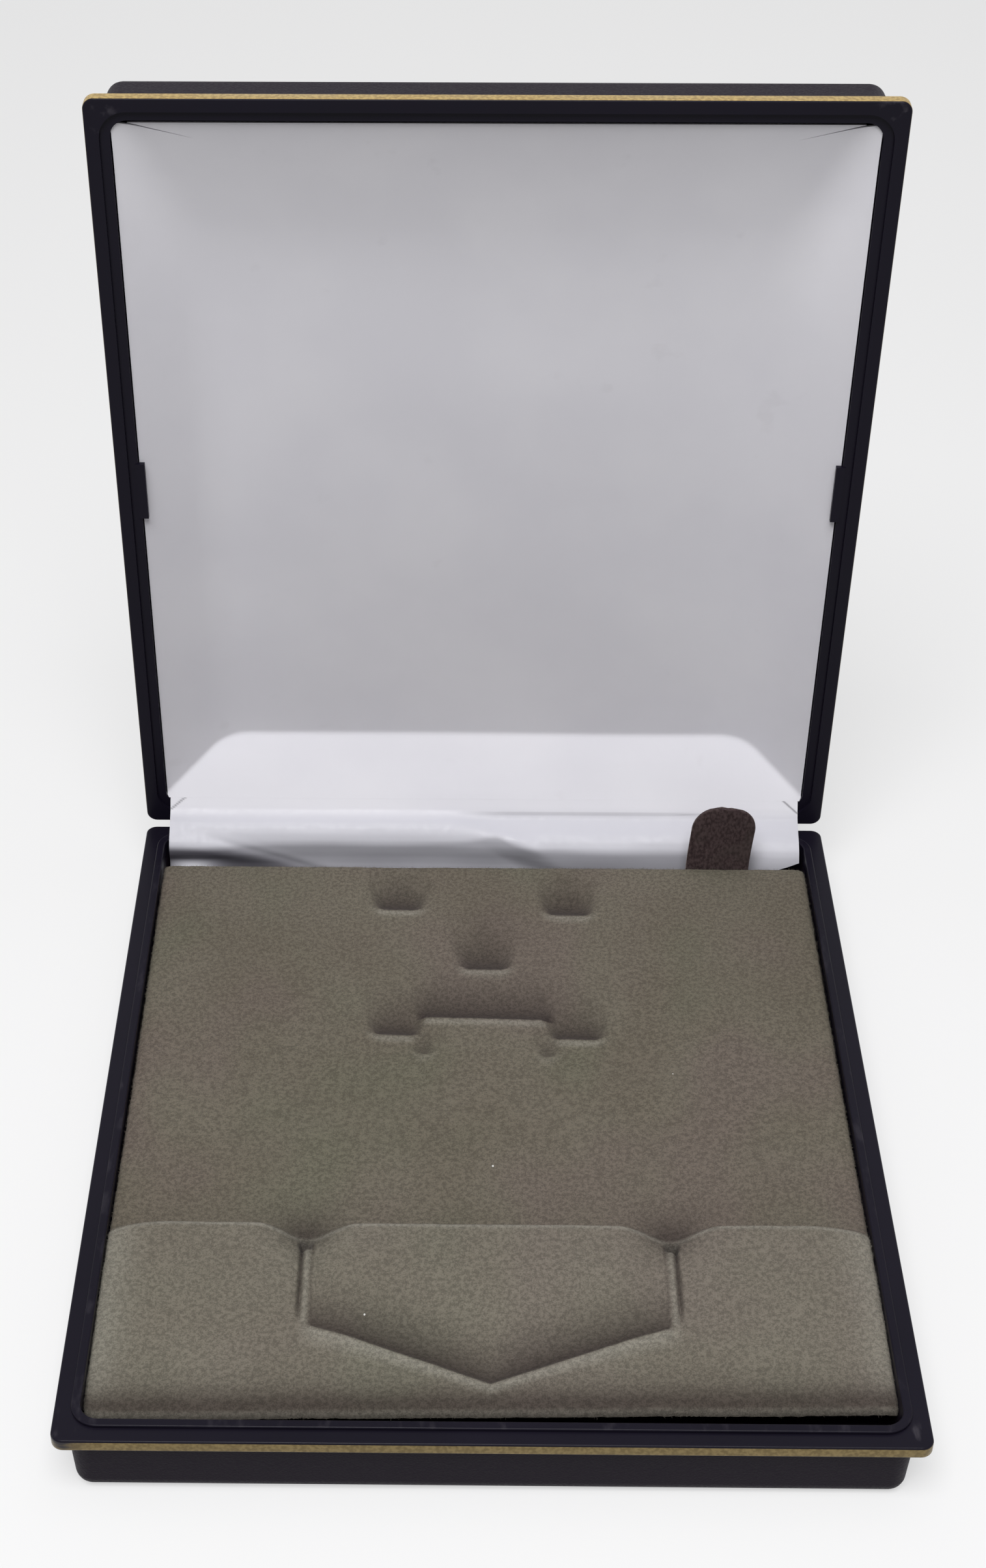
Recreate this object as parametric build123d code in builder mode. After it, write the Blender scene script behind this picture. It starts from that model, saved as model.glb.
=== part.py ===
# Medal presentation case: two moulded halves on sprung hinges, a folded white
# liner in the lid, a white flap over the hinges and a lift-out flocked tray.
# Millimetres. The origin is the middle of the case's underside on the table:
# +X to the right, +Y to the hinges, +Z up. The case stands open, as in use.
import os
from math import cos, radians, sin

from build123d import *

# Case: both halves have the same outline and the same height
case_width = 136.0
case_depth = 155.0
half_height = 15.0
open_angle = 87.0
closing_gap = 0.2

# Moulded half: flange round the rim, drafted body under it, open cavity
flange_thickness = 2.3
flange_overhang = 1.93
flange_corner = 2.0
flange_round = 0.3
body_corner = 3.4
body_edge = 3.0
body_draft = 3.5
rim_width = 4.1
panel_thickness = 1.8
cavity_corner = 3.0
cavity_edge = 2.2
overrun = 1.0

# Lip on the base rim and the recess in the lid rim that closes over it
lip_width = 1.5
lip_height = 0.6
lip_round = 0.25
recess_width = 1.75
recess_depth = 0.9

# Gold foil band, let into the flange edge on the front and both sides
foil_thickness = 0.2
foil_margin = 0.3
foil_rear_stop = 4.0

# Hinge pin and knuckles; the pin lies just behind the rims, level with the base rim
hinge_setback = 0.73
pin_radius = 0.75
pin_clearance = 0.05
leaf_thickness = 0.65
hinge_width = 24.0
hinge_inset = 30.0
base_knuckle_width = 6.0
knuckle_gap = 0.3
leaf_depth = 10.0
notch_clearance = 0.15
notch_side_gap = 0.3

# Spring under the lid knuckle
spring_thickness = 0.4
spring_width = 5.0
spring_gap = 0.08
spring_reach = 0.8
spring_depth = 9.4

# Rivets that hold the leaves and the spring to the rear walls
rivet_shank_radius = 0.7
rivet_head_radius = 1.5
rivet_head_height = 0.6
rivet_bite = 1.2
rivet_spread = 8.5
rivet_depth = 6.5
spring_rivet_depth = 7.0

# Stop ledge behind the base rim that the open lid leans on
stop_width = 24.0
stop_reach = 2.2
stop_start = 0.2
stop_clearance = 0.12

# Lugs inside the lid that keep the liner in
lug_length = 11.7
lug_reach = 1.2
lug_shift = 1.05
lug_face = 0.7
lug_thickness = 0.85
lug_root = 0.5

# Liner in the lid: folded card with four sloping sides
card_thickness = 0.5
liner_gap = 0.2
liner_face = 1.7
liner_depth = 9.8
liner_side_slope = 12.5
liner_front_slope = 9.0
liner_rear_slope = 11.5
liner_bend = 7.0
liner_corner_slit = 0.4
liner_slit_share = 0.7

# Flap that covers the hinges, from the liner's lower edge down into the base
flap_thickness = 0.35
flap_side_gap = 0.8
flap_lead = 0.75
flap_rise = 6.0
flap_reach = 7.88
flap_drop = 17.0
flap_profile_shares = [
    (0, 0),
    (0.093, 0.053),
    (0.143, 0.141),
    (0.264, 0.215),
    (0.48, 0.262),
    (0.695, 0.285),
    (0.873, 0.341),
    (0.956, 0.459),
    (0.99, 0.647),
    (1, 1),
]

# Flocked tray: its outline in the cavity, and its height above the table
sheet_thickness = 1.2
tray_side_gap = 0.5
tray_rear_gap = 8.2
tray_front_gap_left = 1.6
tray_front_gap_right = 4.5
tray_height = 14.2
tray_crown = 0.2
tray_edge_drop = 0.7
tray_edge_width = 2.2
tray_block = 6.0
tray_seat_gap = 0.1

# Raised front roll of the tray, with a dip at each slit
roll_place = 40.5
roll_height = 1.8
roll_back = 1.3
roll_front_drop = 0.3
dip_place = 30.2
dip_half_width = 7.5
dip_setback = 2.3
dip_height = 0.3

# Slits beside the pocket, and the pocket that slopes down to a V
slit_width = 0.9
slit_depth = 1.4
slit_length = 15.0
pocket_half_width = 28.8
pocket_top = 31.4
pocket_shoulder = 20.1
pocket_point = 8.6
pocket_rise = 1.4
pocket_drop = 1.95

# Dished slots in the tray, each with a steep front and a long ramp behind it
dish_width = 8.2
dish_depth = 3.0
dish_ramp = 12.0
dish_spread = 16.3
dish_rear_place = 26.9
dish_middle_place = 43.4
dish_front_place = 62.2
bar_width = 25.4
bar_depth = 1.8
bar_ramp = 9.0
bar_place = 57.0
leg_spread = 11.3
leg_width = 2.6
leg_depth = 0.7
leg_length = 9.0
dish_overrun = 1.5
dish_mid_share = 0.5
dish_flat_share = 0.75
dish_tail_shares = (0.45, 0.1)

# Ribs on the base's side walls that carry the tray
rib_width = 2.0
rib_reach = 3.8
rib_root = 0.5
rib_count = 4
rib_pitch = 38.0
rib_shift = 4.0

# Velour tab that lifts the tray out
tab_width = 12.9
tab_length = 15.5
tab_round = 5.2
tab_thickness = 0.9
tab_inset = 17.5
tab_fold_height = 14.95
tab_fold_gap = 0.1
tab_anchor_gap = 0.55
tab_anchor_rise = 3.3
tab_anchor_length = 10.0

# Places worked out from the sizes above
half_width = case_width / 2
half_depth = case_depth / 2
cavity_half_width = half_width - rim_width
cavity_half_depth = half_depth - rim_width
pivot_y = half_depth + hinge_setback
knuckle_bore = pin_radius + pin_clearance
knuckle_radius = knuckle_bore + leaf_thickness
lid_knuckle_width = hinge_width - 2 * (base_knuckle_width + knuckle_gap)
plate_back = hinge_setback + rim_width
plate_front = plate_back + leaf_thickness
open_cos = cos(radians(open_angle))
open_sin = sin(radians(open_angle))
foil_height = flange_thickness - closing_gap - 2 * foil_margin

# Each half has its own frame on its rim: Y away from the hinges, Z outward
lid_reach = hinge_setback + half_depth
base_rim = Plane(origin=(0, 0, half_height), x_dir=(1, 0, 0), z_dir=(0, 0, -1))
lid_rim = Plane(
    origin=(0, pivot_y - lid_reach * open_cos, half_height + lid_reach * open_sin),
    x_dir=(-1, 0, 0),
    z_dir=(0, open_sin, open_cos),
)


def side_plane(rim, x):
    """Plane across the hinge pin: X runs inward from the pin, Y outward from the rim."""
    return Plane(origin=(x, pivot_y, half_height), x_dir=rim.y_dir, z_dir=rim.x_dir)


def end_faces(block, rim):
    """Faces of a block in order along the rim's outward direction."""
    return block.faces().sort_by(Axis(rim.origin, rim.z_dir))


def flange(rim, start):
    """Flange round a rim, with rounded edges."""
    with BuildPart() as plate:
        with BuildSketch(rim.offset(start)):
            RectangleRounded(case_width, case_depth, flange_corner)
        extrude(amount=flange_thickness - start)
        ends = end_faces(plate, rim)
        fillet(ends[0].edges() + ends[-1].edges(), flange_round)
    return plate.part


def rounded_block(rim, start, height, width, depth, corner, edge, draft):
    """Rounded block from a rim, with its far edges filleted."""
    with BuildPart() as block:
        with BuildSketch(rim.offset(start)):
            RectangleRounded(width, depth, corner)
        extrude(amount=height, taper=draft)
        fillet(end_faces(block, rim)[-1].edges(), edge)
    return block.part


def rim_ring(rim, start, height, outer_inset, inner_inset, outer_corner, inner_corner):
    """Ring that follows the rim between two insets."""
    with BuildPart() as ring:
        with BuildSketch(rim.offset(start)):
            RectangleRounded(case_width - 2 * outer_inset, case_depth - 2 * outer_inset, outer_corner)
            RectangleRounded(
                case_width - 2 * inner_inset,
                case_depth - 2 * inner_inset,
                inner_corner,
                mode=Mode.SUBTRACT,
            )
        extrude(amount=height)
    return ring.part


def foil_band(rim):
    """Foil band in the flange edge, left out along the rear."""
    with BuildPart() as band:
        add(
            rim_ring(
                rim,
                closing_gap + foil_margin,
                foil_height,
                0,
                foil_thickness,
                flange_corner,
                flange_corner - foil_thickness,
            )
        )
        with BuildSketch(rim):
            with Locations((0, -half_depth)):
                Rectangle(case_width + 2 * overrun, 2 * foil_rear_stop)
        extrude(amount=flange_thickness, mode=Mode.SUBTRACT)
    return band.part


def hinge_notch(rim, x, width, depth):
    """Cut across the rear rim that lets one hinge through."""
    with BuildPart() as notch:
        with BuildSketch(side_plane(rim, x)):
            with Locations((0, -overrun)):
                Rectangle(plate_front + overrun, depth + overrun, align=(Align.MIN, Align.MIN))
        extrude(amount=width / 2, both=True)
    return notch.part


def rivet_plane(rim, x, depth):
    """Plane on the leaf's inner face at one rivet."""
    place = side_plane(rim, x).from_local_coords((plate_front, depth, 0))
    return Plane(origin=place, x_dir=rim.x_dir, z_dir=rim.y_dir)


def rivet_shank(rim, x, depth):
    """Shank of one rivet, from the leaf's inner face into the rear wall."""
    with BuildPart() as shank:
        with BuildSketch(rivet_plane(rim, x, depth)):
            Circle(rivet_shank_radius)
        extrude(amount=-leaf_thickness - rivet_bite)
    return shank.part


def rivet(rim, x, depth, grip):
    """One rivet; grip is what it holds down on the leaf."""
    face = rivet_plane(rim, x, depth)
    with BuildPart() as whole:
        add(rivet_shank(rim, x, depth))
        with BuildSketch(face):
            Circle(rivet_shank_radius)
        extrude(amount=grip + rivet_head_height)
        with BuildSketch(face.offset(grip)):
            Circle(rivet_head_radius)
        extrude(amount=rivet_head_height)
        head_edge = whole.faces().sort_by(Axis(face.origin, face.z_dir))[-1].edges()
        chamfer(head_edge, rivet_head_height / 2)
    return whole.part


def knuckle(rim, x, start, width, bore):
    """Curled knuckle with its tongue, from start along the pin."""
    with BuildPart() as curl:
        with BuildSketch(side_plane(rim, x).offset(start)):
            Circle(knuckle_radius)
            with Locations((0, knuckle_radius - leaf_thickness)):
                Rectangle(plate_front, leaf_thickness, align=(Align.MIN, Align.MIN))
            Circle(bore, mode=Mode.SUBTRACT)
        extrude(amount=width)
    return curl.part


def leaf_plate(rim, x):
    """Upright plate of one leaf, with its rivet holes."""
    top = knuckle_radius - leaf_thickness
    with BuildPart() as plate:
        with BuildSketch(side_plane(rim, x)):
            with Locations((plate_back, top)):
                Rectangle(leaf_thickness, leaf_depth - top, align=(Align.MIN, Align.MIN))
        extrude(amount=hinge_width / 2, both=True)
        for side in (-1, 1):
            add(rivet_shank(rim, x + side * rivet_spread, rivet_depth), mode=Mode.SUBTRACT)
    return plate.part


hinge_place = half_width - hinge_inset
hinge_sides = {"left": -hinge_place, "right": hinge_place}

# Base half, moulded in one piece with its lip, tray ribs and stop ledge
base_foil = foil_band(base_rim)
spring_face = knuckle_radius + spring_gap
spring_pocket_depth = spring_face + spring_thickness + notch_clearance
notch_depth = knuckle_radius + notch_clearance
notch_width = hinge_width + 2 * notch_side_gap
cavity_height = half_height - panel_thickness
floor_height = panel_thickness
rib_top = tray_height - tray_edge_drop - sheet_thickness - tray_seat_gap
stop_height = hinge_setback * open_sin - stop_clearance

with BuildPart() as base_lip:
    add(
        rim_ring(
            base_rim,
            -lip_height,
            lip_height,
            rim_width - lip_width,
            rim_width,
            cavity_corner + lip_width,
            cavity_corner,
        )
    )
    fillet(end_faces(base_lip, base_rim)[0].edges(), lip_round)

with BuildPart() as base_shell:
    add(flange(base_rim, 0))
    add(
        rounded_block(
            base_rim,
            flange_thickness,
            half_height - flange_thickness,
            case_width - 2 * flange_overhang,
            case_depth - 2 * flange_overhang,
            body_corner,
            body_edge,
            body_draft,
        )
    )
    add(base_lip.part)
    add(
        rounded_block(
            base_rim,
            -lip_height,
            cavity_height + lip_height,
            2 * cavity_half_width,
            2 * cavity_half_depth,
            cavity_corner,
            cavity_edge,
            0,
        ),
        mode=Mode.SUBTRACT,
    )
    # ribs under the tray's sides
    with BuildSketch(Plane.XY.offset(floor_height)):
        with Locations((0, -rib_shift)):
            with GridLocations(2 * cavity_half_width - rib_reach + rib_root, rib_pitch, 2, rib_count):
                Rectangle(rib_reach + rib_root, rib_width)
    extrude(amount=rib_top - floor_height)
    # stop ledge behind the rim, raised where the open lid meets it
    with BuildSketch(side_plane(base_rim, 0)):
        with Locations((-stop_reach, 0)):
            Rectangle(stop_reach + hinge_setback, flange_thickness, align=(Align.MIN, Align.MIN))
        with Locations((-stop_reach, -stop_height)):
            Rectangle(stop_reach + stop_start, stop_height, align=(Align.MIN, Align.MIN))
    extrude(amount=stop_width / 2, both=True)
    for x in hinge_sides.values():
        add(hinge_notch(base_rim, x, notch_width, notch_depth), mode=Mode.SUBTRACT)
        add(
            hinge_notch(base_rim, x, spring_width + 2 * notch_side_gap, spring_pocket_depth),
            mode=Mode.SUBTRACT,
        )
        for side in (-1, 1):
            add(rivet_shank(base_rim, x + side * rivet_spread, rivet_depth), mode=Mode.SUBTRACT)
        add(rivet_shank(base_rim, x, spring_rivet_depth), mode=Mode.SUBTRACT)
    add(base_foil, mode=Mode.SUBTRACT)

# Lid half, moulded in one piece with its recess and the lugs for the liner
lid_foil = foil_band(lid_rim)
with BuildPart() as lid_shell:
    add(flange(lid_rim, closing_gap))
    add(
        rounded_block(
            lid_rim,
            flange_thickness,
            half_height - flange_thickness,
            case_width - 2 * flange_overhang,
            case_depth - 2 * flange_overhang,
            body_corner,
            body_edge,
            body_draft,
        )
    )
    add(
        rounded_block(
            lid_rim,
            0,
            cavity_height,
            2 * cavity_half_width,
            2 * cavity_half_depth,
            cavity_corner,
            cavity_edge,
            0,
        ),
        mode=Mode.SUBTRACT,
    )
    add(
        rim_ring(
            lid_rim,
            0,
            recess_depth,
            rim_width - recess_width,
            rim_width + overrun,
            cavity_corner + recess_width,
            cavity_corner,
        ),
        mode=Mode.SUBTRACT,
    )
    for side in (-1, 1):
        with BuildSketch(lid_rim.offset(lug_face)):
            with Locations((side * (cavity_half_width + (lug_root - lug_reach) / 2), lug_shift)):
                Rectangle(lug_reach + lug_root, lug_length)
        extrude(amount=lug_thickness)
    for x in hinge_sides.values():
        add(hinge_notch(lid_rim, x, notch_width, notch_depth), mode=Mode.SUBTRACT)
        for side in (-1, 1):
            add(rivet_shank(lid_rim, x + side * rivet_spread, rivet_depth), mode=Mode.SUBTRACT)
    add(lid_foil, mode=Mode.SUBTRACT)

# Foil bands
with BuildPart() as base_gold_line:
    add(base_foil)
with BuildPart() as lid_gold_line:
    add(lid_foil)

# Hinges: a steel leaf on each half, a pin, and a flat spring under the lid knuckle
base_leaves = {}
lid_leaves = {}
pins = {}
springs = {}
for name, x in hinge_sides.items():
    with BuildPart() as base_leaf:
        add(leaf_plate(base_rim, x))
        with BuildSketch(side_plane(base_rim, x)):
            with Locations((plate_back - overrun, 0)):
                Rectangle(leaf_thickness + 2 * overrun, spring_pocket_depth, align=(Align.MIN, Align.MIN))
        extrude(amount=lid_knuckle_width / 2 + knuckle_gap, both=True, mode=Mode.SUBTRACT)
        add(rivet_shank(base_rim, x, spring_rivet_depth), mode=Mode.SUBTRACT)
        add(knuckle(base_rim, x, -hinge_width / 2, base_knuckle_width, pin_radius))
        add(knuckle(base_rim, x, hinge_width / 2, -base_knuckle_width, pin_radius))
    base_leaves[name] = base_leaf.part

    with BuildPart() as lid_leaf:
        add(leaf_plate(lid_rim, x))
        add(knuckle(lid_rim, x, -lid_knuckle_width / 2, lid_knuckle_width, knuckle_bore))
    lid_leaves[name] = lid_leaf.part

    with BuildPart() as pin:
        with BuildSketch(side_plane(base_rim, x)):
            Circle(pin_radius)
        extrude(amount=hinge_width / 2, both=True)
    pins[name] = pin.part

    with BuildPart() as spring:
        with BuildSketch(side_plane(base_rim, x)):
            with Locations((-spring_reach, spring_face)):
                Rectangle(
                    spring_reach + plate_front + spring_thickness,
                    spring_thickness,
                    align=(Align.MIN, Align.MIN),
                )
            with Locations((plate_front, spring_face)):
                Rectangle(spring_thickness, spring_depth - spring_face, align=(Align.MIN, Align.MIN))
        extrude(amount=spring_width / 2, both=True)
        with BuildSketch(rivet_plane(base_rim, x, spring_rivet_depth)):
            Circle(rivet_shank_radius)
        extrude(amount=spring_thickness + overrun, mode=Mode.SUBTRACT)
    springs[name] = spring.part

with BuildPart() as base_hinge_rivets:
    for x in hinge_sides.values():
        for side in (-1, 1):
            add(rivet(base_rim, x + side * rivet_spread, rivet_depth, 0))
with BuildPart() as lid_hinge_rivets:
    for x in hinge_sides.values():
        for side in (-1, 1):
            add(rivet(lid_rim, x + side * rivet_spread, rivet_depth, 0))
with BuildPart() as spring_rivets:
    for x in hinge_sides.values():
        add(rivet(base_rim, x, spring_rivet_depth, spring_thickness))

# Lid liner: one folded card, its corners slit so that the sides fold in
liner_half_width = cavity_half_width - liner_gap - card_thickness
liner_front = cavity_half_depth - liner_gap - card_thickness
liner_rear = -cavity_half_depth + leaf_thickness + liner_gap + card_thickness
liner_width = 2 * liner_half_width
liner_length = liner_front - liner_rear


def liner_form(grow):
    """Dished form of the liner, grown outward by the card's thickness."""
    middle = (liner_front + liner_rear) / 2
    panel_middle = middle + (liner_rear_slope - liner_front_slope) / 2
    panel_length = liner_length - liner_front_slope - liner_rear_slope
    with BuildPart() as form:
        with BuildSketch(lid_rim.offset(liner_face)):
            with Locations((0, middle)):
                Rectangle(liner_width + 2 * grow, liner_length + 2 * grow)
        with BuildSketch(lid_rim.offset(liner_depth + grow)):
            with Locations((0, panel_middle)):
                Rectangle(liner_width - 2 * liner_side_slope, panel_length)
        loft()
        fillet(end_faces(form, lid_rim)[-1].edges(), liner_bend + grow)
    return form.part


with BuildPart() as lid_liner:
    add(liner_form(card_thickness))
    add(liner_form(0), mode=Mode.SUBTRACT)
    add(
        rounded_block(
            lid_rim,
            0,
            cavity_height - liner_gap,
            2 * (cavity_half_width - liner_gap),
            2 * (cavity_half_depth - liner_gap),
            cavity_corner - liner_gap,
            cavity_edge - liner_gap,
            0,
        ),
        mode=Mode.INTERSECT,
    )
    with BuildSketch(lid_rim):
        for side in (-1, 1):
            for edge, slope in ((liner_front, liner_front_slope), (liner_rear, -liner_rear_slope)):
                with BuildLine():
                    Line(
                        (side * liner_half_width, edge),
                        (
                            side * (liner_half_width - liner_side_slope * liner_slit_share),
                            edge - slope * liner_slit_share,
                        ),
                    )
                trace(line_width=liner_corner_slit)
    extrude(amount=liner_depth + card_thickness + overrun, mode=Mode.SUBTRACT)

# Flap over the hinges: its side profile steps down from the liner into the base
flap_half_width = cavity_half_width - flap_side_gap
flap_points = [
    (pivot_y + flap_lead - across * flap_reach, half_height + flap_rise - down * flap_drop)
    for across, down in flap_profile_shares
]
flap_front = [(y - flap_thickness, z + flap_thickness) for y, z in flap_points]
with BuildPart() as hinge_flap:
    with BuildSketch(Plane.YZ):
        with BuildLine():
            Spline(*flap_points)
            Line(flap_points[-1], flap_front[-1])
            Spline(*reversed(flap_front))
            Line(flap_front[0], flap_points[0])
        make_face()
    extrude(amount=flap_half_width, both=True)

# Flocked tray: one formed sheet with a raised front roll, a pocket and dished slots
tray_half_width = cavity_half_width - tray_side_gap
tray_rear = cavity_half_depth - tray_rear_gap
roll_crest = -cavity_half_depth + roll_place


def tray_front(x):
    """Front edge of the tray, which sits a little askew in the base."""
    across_share = (x + cavity_half_width) / (2 * cavity_half_width)
    gap = tray_front_gap_left + (tray_front_gap_right - tray_front_gap_left) * across_share
    return -cavity_half_depth + gap


def dip(x):
    """How far the roll is drawn down at a place across the tray, from 0 to 1."""
    distance = min(abs(abs(x) - dip_place) / dip_half_width, 1)
    return (1 - distance * distance) ** 2


def tray_section(x, side_drop, lower, spread):
    """Cross-section of a block whose top is the tray's, lowered and spread past its edges."""
    edge_share = 1 + spread / tray_edge_width
    drop = tray_edge_drop * edge_share
    width = tray_edge_width * edge_share
    top = tray_height - lower - side_drop
    bottom = tray_height - tray_block - spread
    rear = tray_rear + spread
    front = tray_front(x) - spread
    crest = roll_crest - dip_setback * dip(x)
    rise = roll_height + (dip_height - roll_height) * dip(x)
    nose = top - roll_front_drop
    with BuildSketch(Plane.YZ.offset(x)) as section:
        with BuildLine():
            Line((front, bottom), (rear, bottom))
            Line((rear, bottom), (rear, top - drop))
            Line((rear, top - drop), (rear - width, top))
            ThreePointArc(
                (rear - width, top),
                ((rear - width + crest + roll_back) / 2, top + tray_crown),
                (crest + roll_back, top),
            )
            Line((crest + roll_back, top), (crest, top + rise))
            ThreePointArc(
                (crest, top + rise),
                ((crest + front + width) / 2, (top + rise + nose) / 2 + tray_crown),
                (front + width, nose),
            )
            Line((front + width, nose), (front, nose - drop))
            Line((front, nose - drop), (front, bottom))
        make_face()
    return section.sketch


def dish(x, y, width, depth, ramp, grow):
    """Tool for one dished slot: steep at y, ramping up to the rear."""
    surface = tray_height + dish_overrun
    cuts = [(y - grow, 1, 1), (y + ramp * dish_mid_share, 1, dish_mid_share), (y + ramp, *dish_tail_shares)]
    with BuildPart() as tool:
        for place, width_share, depth_share in cuts:
            half = width / 2 * width_share + grow
            flat = half * dish_flat_share
            low = tray_height - depth * depth_share - grow
            shoulder = half + dish_overrun
            with BuildSketch(Plane.XZ.offset(-place)):
                Polygon(
                    (x - shoulder, surface),
                    (x - flat, low),
                    (x + flat, low),
                    (x + shoulder, surface),
                    align=None,
                )
        loft(ruled=True)
    return tool.part


def pocket(grow):
    """Tool for the pocket: its floor slopes down from the roll to a V."""
    top = -cavity_half_depth + pocket_top
    shoulder = -cavity_half_depth + pocket_shoulder - grow
    point = -cavity_half_depth + pocket_point - grow
    half = pocket_half_width + grow
    fall_start = tray_height + pocket_rise - grow
    fall_end = tray_height - pocket_drop - grow
    surface = tray_height + roll_height + dish_overrun
    with BuildPart() as tool:
        with BuildSketch(Plane.YZ):
            Polygon((top, fall_start), (top, surface), (point, surface), (point, fall_end), align=None)
        extrude(amount=half, both=True)
        with BuildSketch(Plane.XY.offset(fall_end)):
            Polygon((-half, top), (half, top), (half, shoulder), (0, point), (-half, shoulder), align=None)
        extrude(amount=surface - fall_end, mode=Mode.INTERSECT)
    return tool.part


roll_stations = [
    -(tray_half_width - tray_edge_width),
    -(dip_place + dip_half_width),
    -(dip_place + dip_half_width / 2),
    -dip_place,
    -(dip_place - dip_half_width / 2),
    -(dip_place - dip_half_width),
]
roll_stations = roll_stations + [-x for x in reversed(roll_stations)]
dishes = [
    (-dish_spread, dish_rear_place, dish_width, dish_depth, dish_ramp),
    (dish_spread, dish_rear_place, dish_width, dish_depth, dish_ramp),
    (0, dish_middle_place, dish_width, dish_depth, dish_ramp),
    (-dish_spread, dish_front_place, dish_width, dish_depth, dish_ramp),
    (dish_spread, dish_front_place, dish_width, dish_depth, dish_ramp),
    (0, bar_place, bar_width, bar_depth, bar_ramp),
    (-leg_spread, bar_place + leg_length, leg_width, leg_depth, leg_length),
    (leg_spread, bar_place + leg_length, leg_width, leg_depth, leg_length),
]


def tray_form(lower, spread):
    """Block under the tray's top face, lowered by the sheet's thickness for its underside."""
    edge = tray_half_width + spread
    side_drop = tray_edge_drop * (1 + spread / tray_edge_width)
    surface = tray_height + roll_height + dish_overrun
    slit_floor = tray_height - slit_depth - lower
    with BuildPart() as form:
        sections = [tray_section(-edge, side_drop, lower, spread)]
        sections += [tray_section(x, 0, lower, spread) for x in roll_stations]
        sections += [tray_section(edge, side_drop, lower, spread)]
        loft(sections, ruled=True)
        for x, place, width, depth, ramp in dishes:
            add(dish(x, half_depth - place, width, depth, ramp, lower), mode=Mode.SUBTRACT)
        add(pocket(lower), mode=Mode.SUBTRACT)
        with BuildSketch(Plane.XY.offset(slit_floor)):
            with Locations((0, roll_crest - dip_setback - slit_length / 2)):
                with GridLocations(2 * dip_place, 0, 2, 1):
                    Rectangle(slit_width + 2 * lower, slit_length + 2 * lower)
        extrude(amount=surface - slit_floor, mode=Mode.SUBTRACT)
    return form.part


with BuildPart() as insert_tray:
    add(tray_form(0, 0))
    add(tray_form(sheet_thickness, overrun), mode=Mode.SUBTRACT)

# Tab: one velour strip, glued under the tray and folding at its rear edge
tab_place = cavity_half_width - tab_inset
tab_back = tray_rear + tab_anchor_gap + tab_thickness
anchor_top = tab_fold_height - tab_anchor_gap
anchor_base = anchor_top - tab_anchor_rise
with BuildPart() as tab_anchor:
    with BuildSketch(Plane.YZ.offset(tab_place)):
        with Locations((tab_back - tab_thickness, anchor_base)):
            Rectangle(tab_thickness, tab_anchor_rise, align=(Align.MIN, Align.MIN))
        with Locations((tab_back, anchor_base)):
            Rectangle(tab_anchor_length, tab_thickness, align=(Align.MAX, Align.MIN))
    extrude(amount=tab_width / 2, both=True)
with BuildPart() as pull_tab:
    with BuildSketch(Plane.XZ.offset(-tab_back)):
        with BuildLine():
            low = tab_fold_height + tab_fold_gap
            shoulder = low + tab_length - tab_round
            left = tab_place - tab_width / 2
            right = tab_place + tab_width / 2
            Polyline((left, shoulder), (left, low), (right, low), (right, shoulder))
            ThreePointArc((right, shoulder), (tab_place, low + tab_length), (left, shoulder))
        make_face()
    extrude(amount=tab_thickness)

pieces = {
    "base_shell": base_shell.part,
    "base_gold_line": base_gold_line.part,
    "lid_shell": lid_shell.part,
    "lid_gold_line": lid_gold_line.part,
    "base_hinge_rivets": base_hinge_rivets.part,
    "lid_hinge_rivets": lid_hinge_rivets.part,
    "spring_rivets": spring_rivets.part,
    "lid_liner": lid_liner.part,
    "hinge_flap": hinge_flap.part,
    "insert_tray": insert_tray.part,
    "tab_anchor": tab_anchor.part,
    "pull_tab": pull_tab.part,
}
for name in hinge_sides:
    pieces["base_hinge_leaf_" + name] = base_leaves[name]
    pieces["lid_hinge_leaf_" + name] = lid_leaves[name]
    pieces["hinge_pin_" + name] = pins[name]
    pieces["hinge_spring_" + name] = springs[name]

os.makedirs("parts", exist_ok=True)
for name, piece in pieces.items():
    piece.label = name
    export_step(piece, "parts/" + name + ".step")
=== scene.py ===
# Medal presentation case, open on a table: the looks of each piece, built round
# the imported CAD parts. Metres, in their frame: +X to the right, +Y to the
# hinges, +Z up, with the origin in the middle of the base's underside.
import math

import bmesh
import bpy
import numpy as np
from mathutils import Matrix, Vector


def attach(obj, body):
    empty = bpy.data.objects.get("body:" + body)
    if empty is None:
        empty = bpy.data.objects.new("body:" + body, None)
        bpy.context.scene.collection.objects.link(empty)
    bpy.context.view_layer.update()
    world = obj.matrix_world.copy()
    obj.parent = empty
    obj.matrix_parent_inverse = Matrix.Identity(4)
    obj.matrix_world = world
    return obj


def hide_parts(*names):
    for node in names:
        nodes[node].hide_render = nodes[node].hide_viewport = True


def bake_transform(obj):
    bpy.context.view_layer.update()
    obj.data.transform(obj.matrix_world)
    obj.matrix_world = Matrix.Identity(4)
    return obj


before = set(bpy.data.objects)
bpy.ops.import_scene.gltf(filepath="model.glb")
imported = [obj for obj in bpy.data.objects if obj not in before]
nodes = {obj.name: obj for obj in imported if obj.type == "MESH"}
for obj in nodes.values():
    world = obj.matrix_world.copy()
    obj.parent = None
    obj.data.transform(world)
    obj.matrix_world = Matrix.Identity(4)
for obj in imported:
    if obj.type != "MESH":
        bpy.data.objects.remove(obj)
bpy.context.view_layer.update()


# Base half and lid half: two plastic mouldings from one tool, near black with a
# violet cast. The flange is left glossy by the tool, the body round it has a fine
# matt grain, and handling has rubbed the lip and the front corners pale.
MM = 0.001
open_angle = math.radians(87)
open_cos, open_sin = math.cos(open_angle), math.sin(open_angle)
hinge_y, hinge_z, hinge_setback = 78.23, 15.0, 0.73
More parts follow.
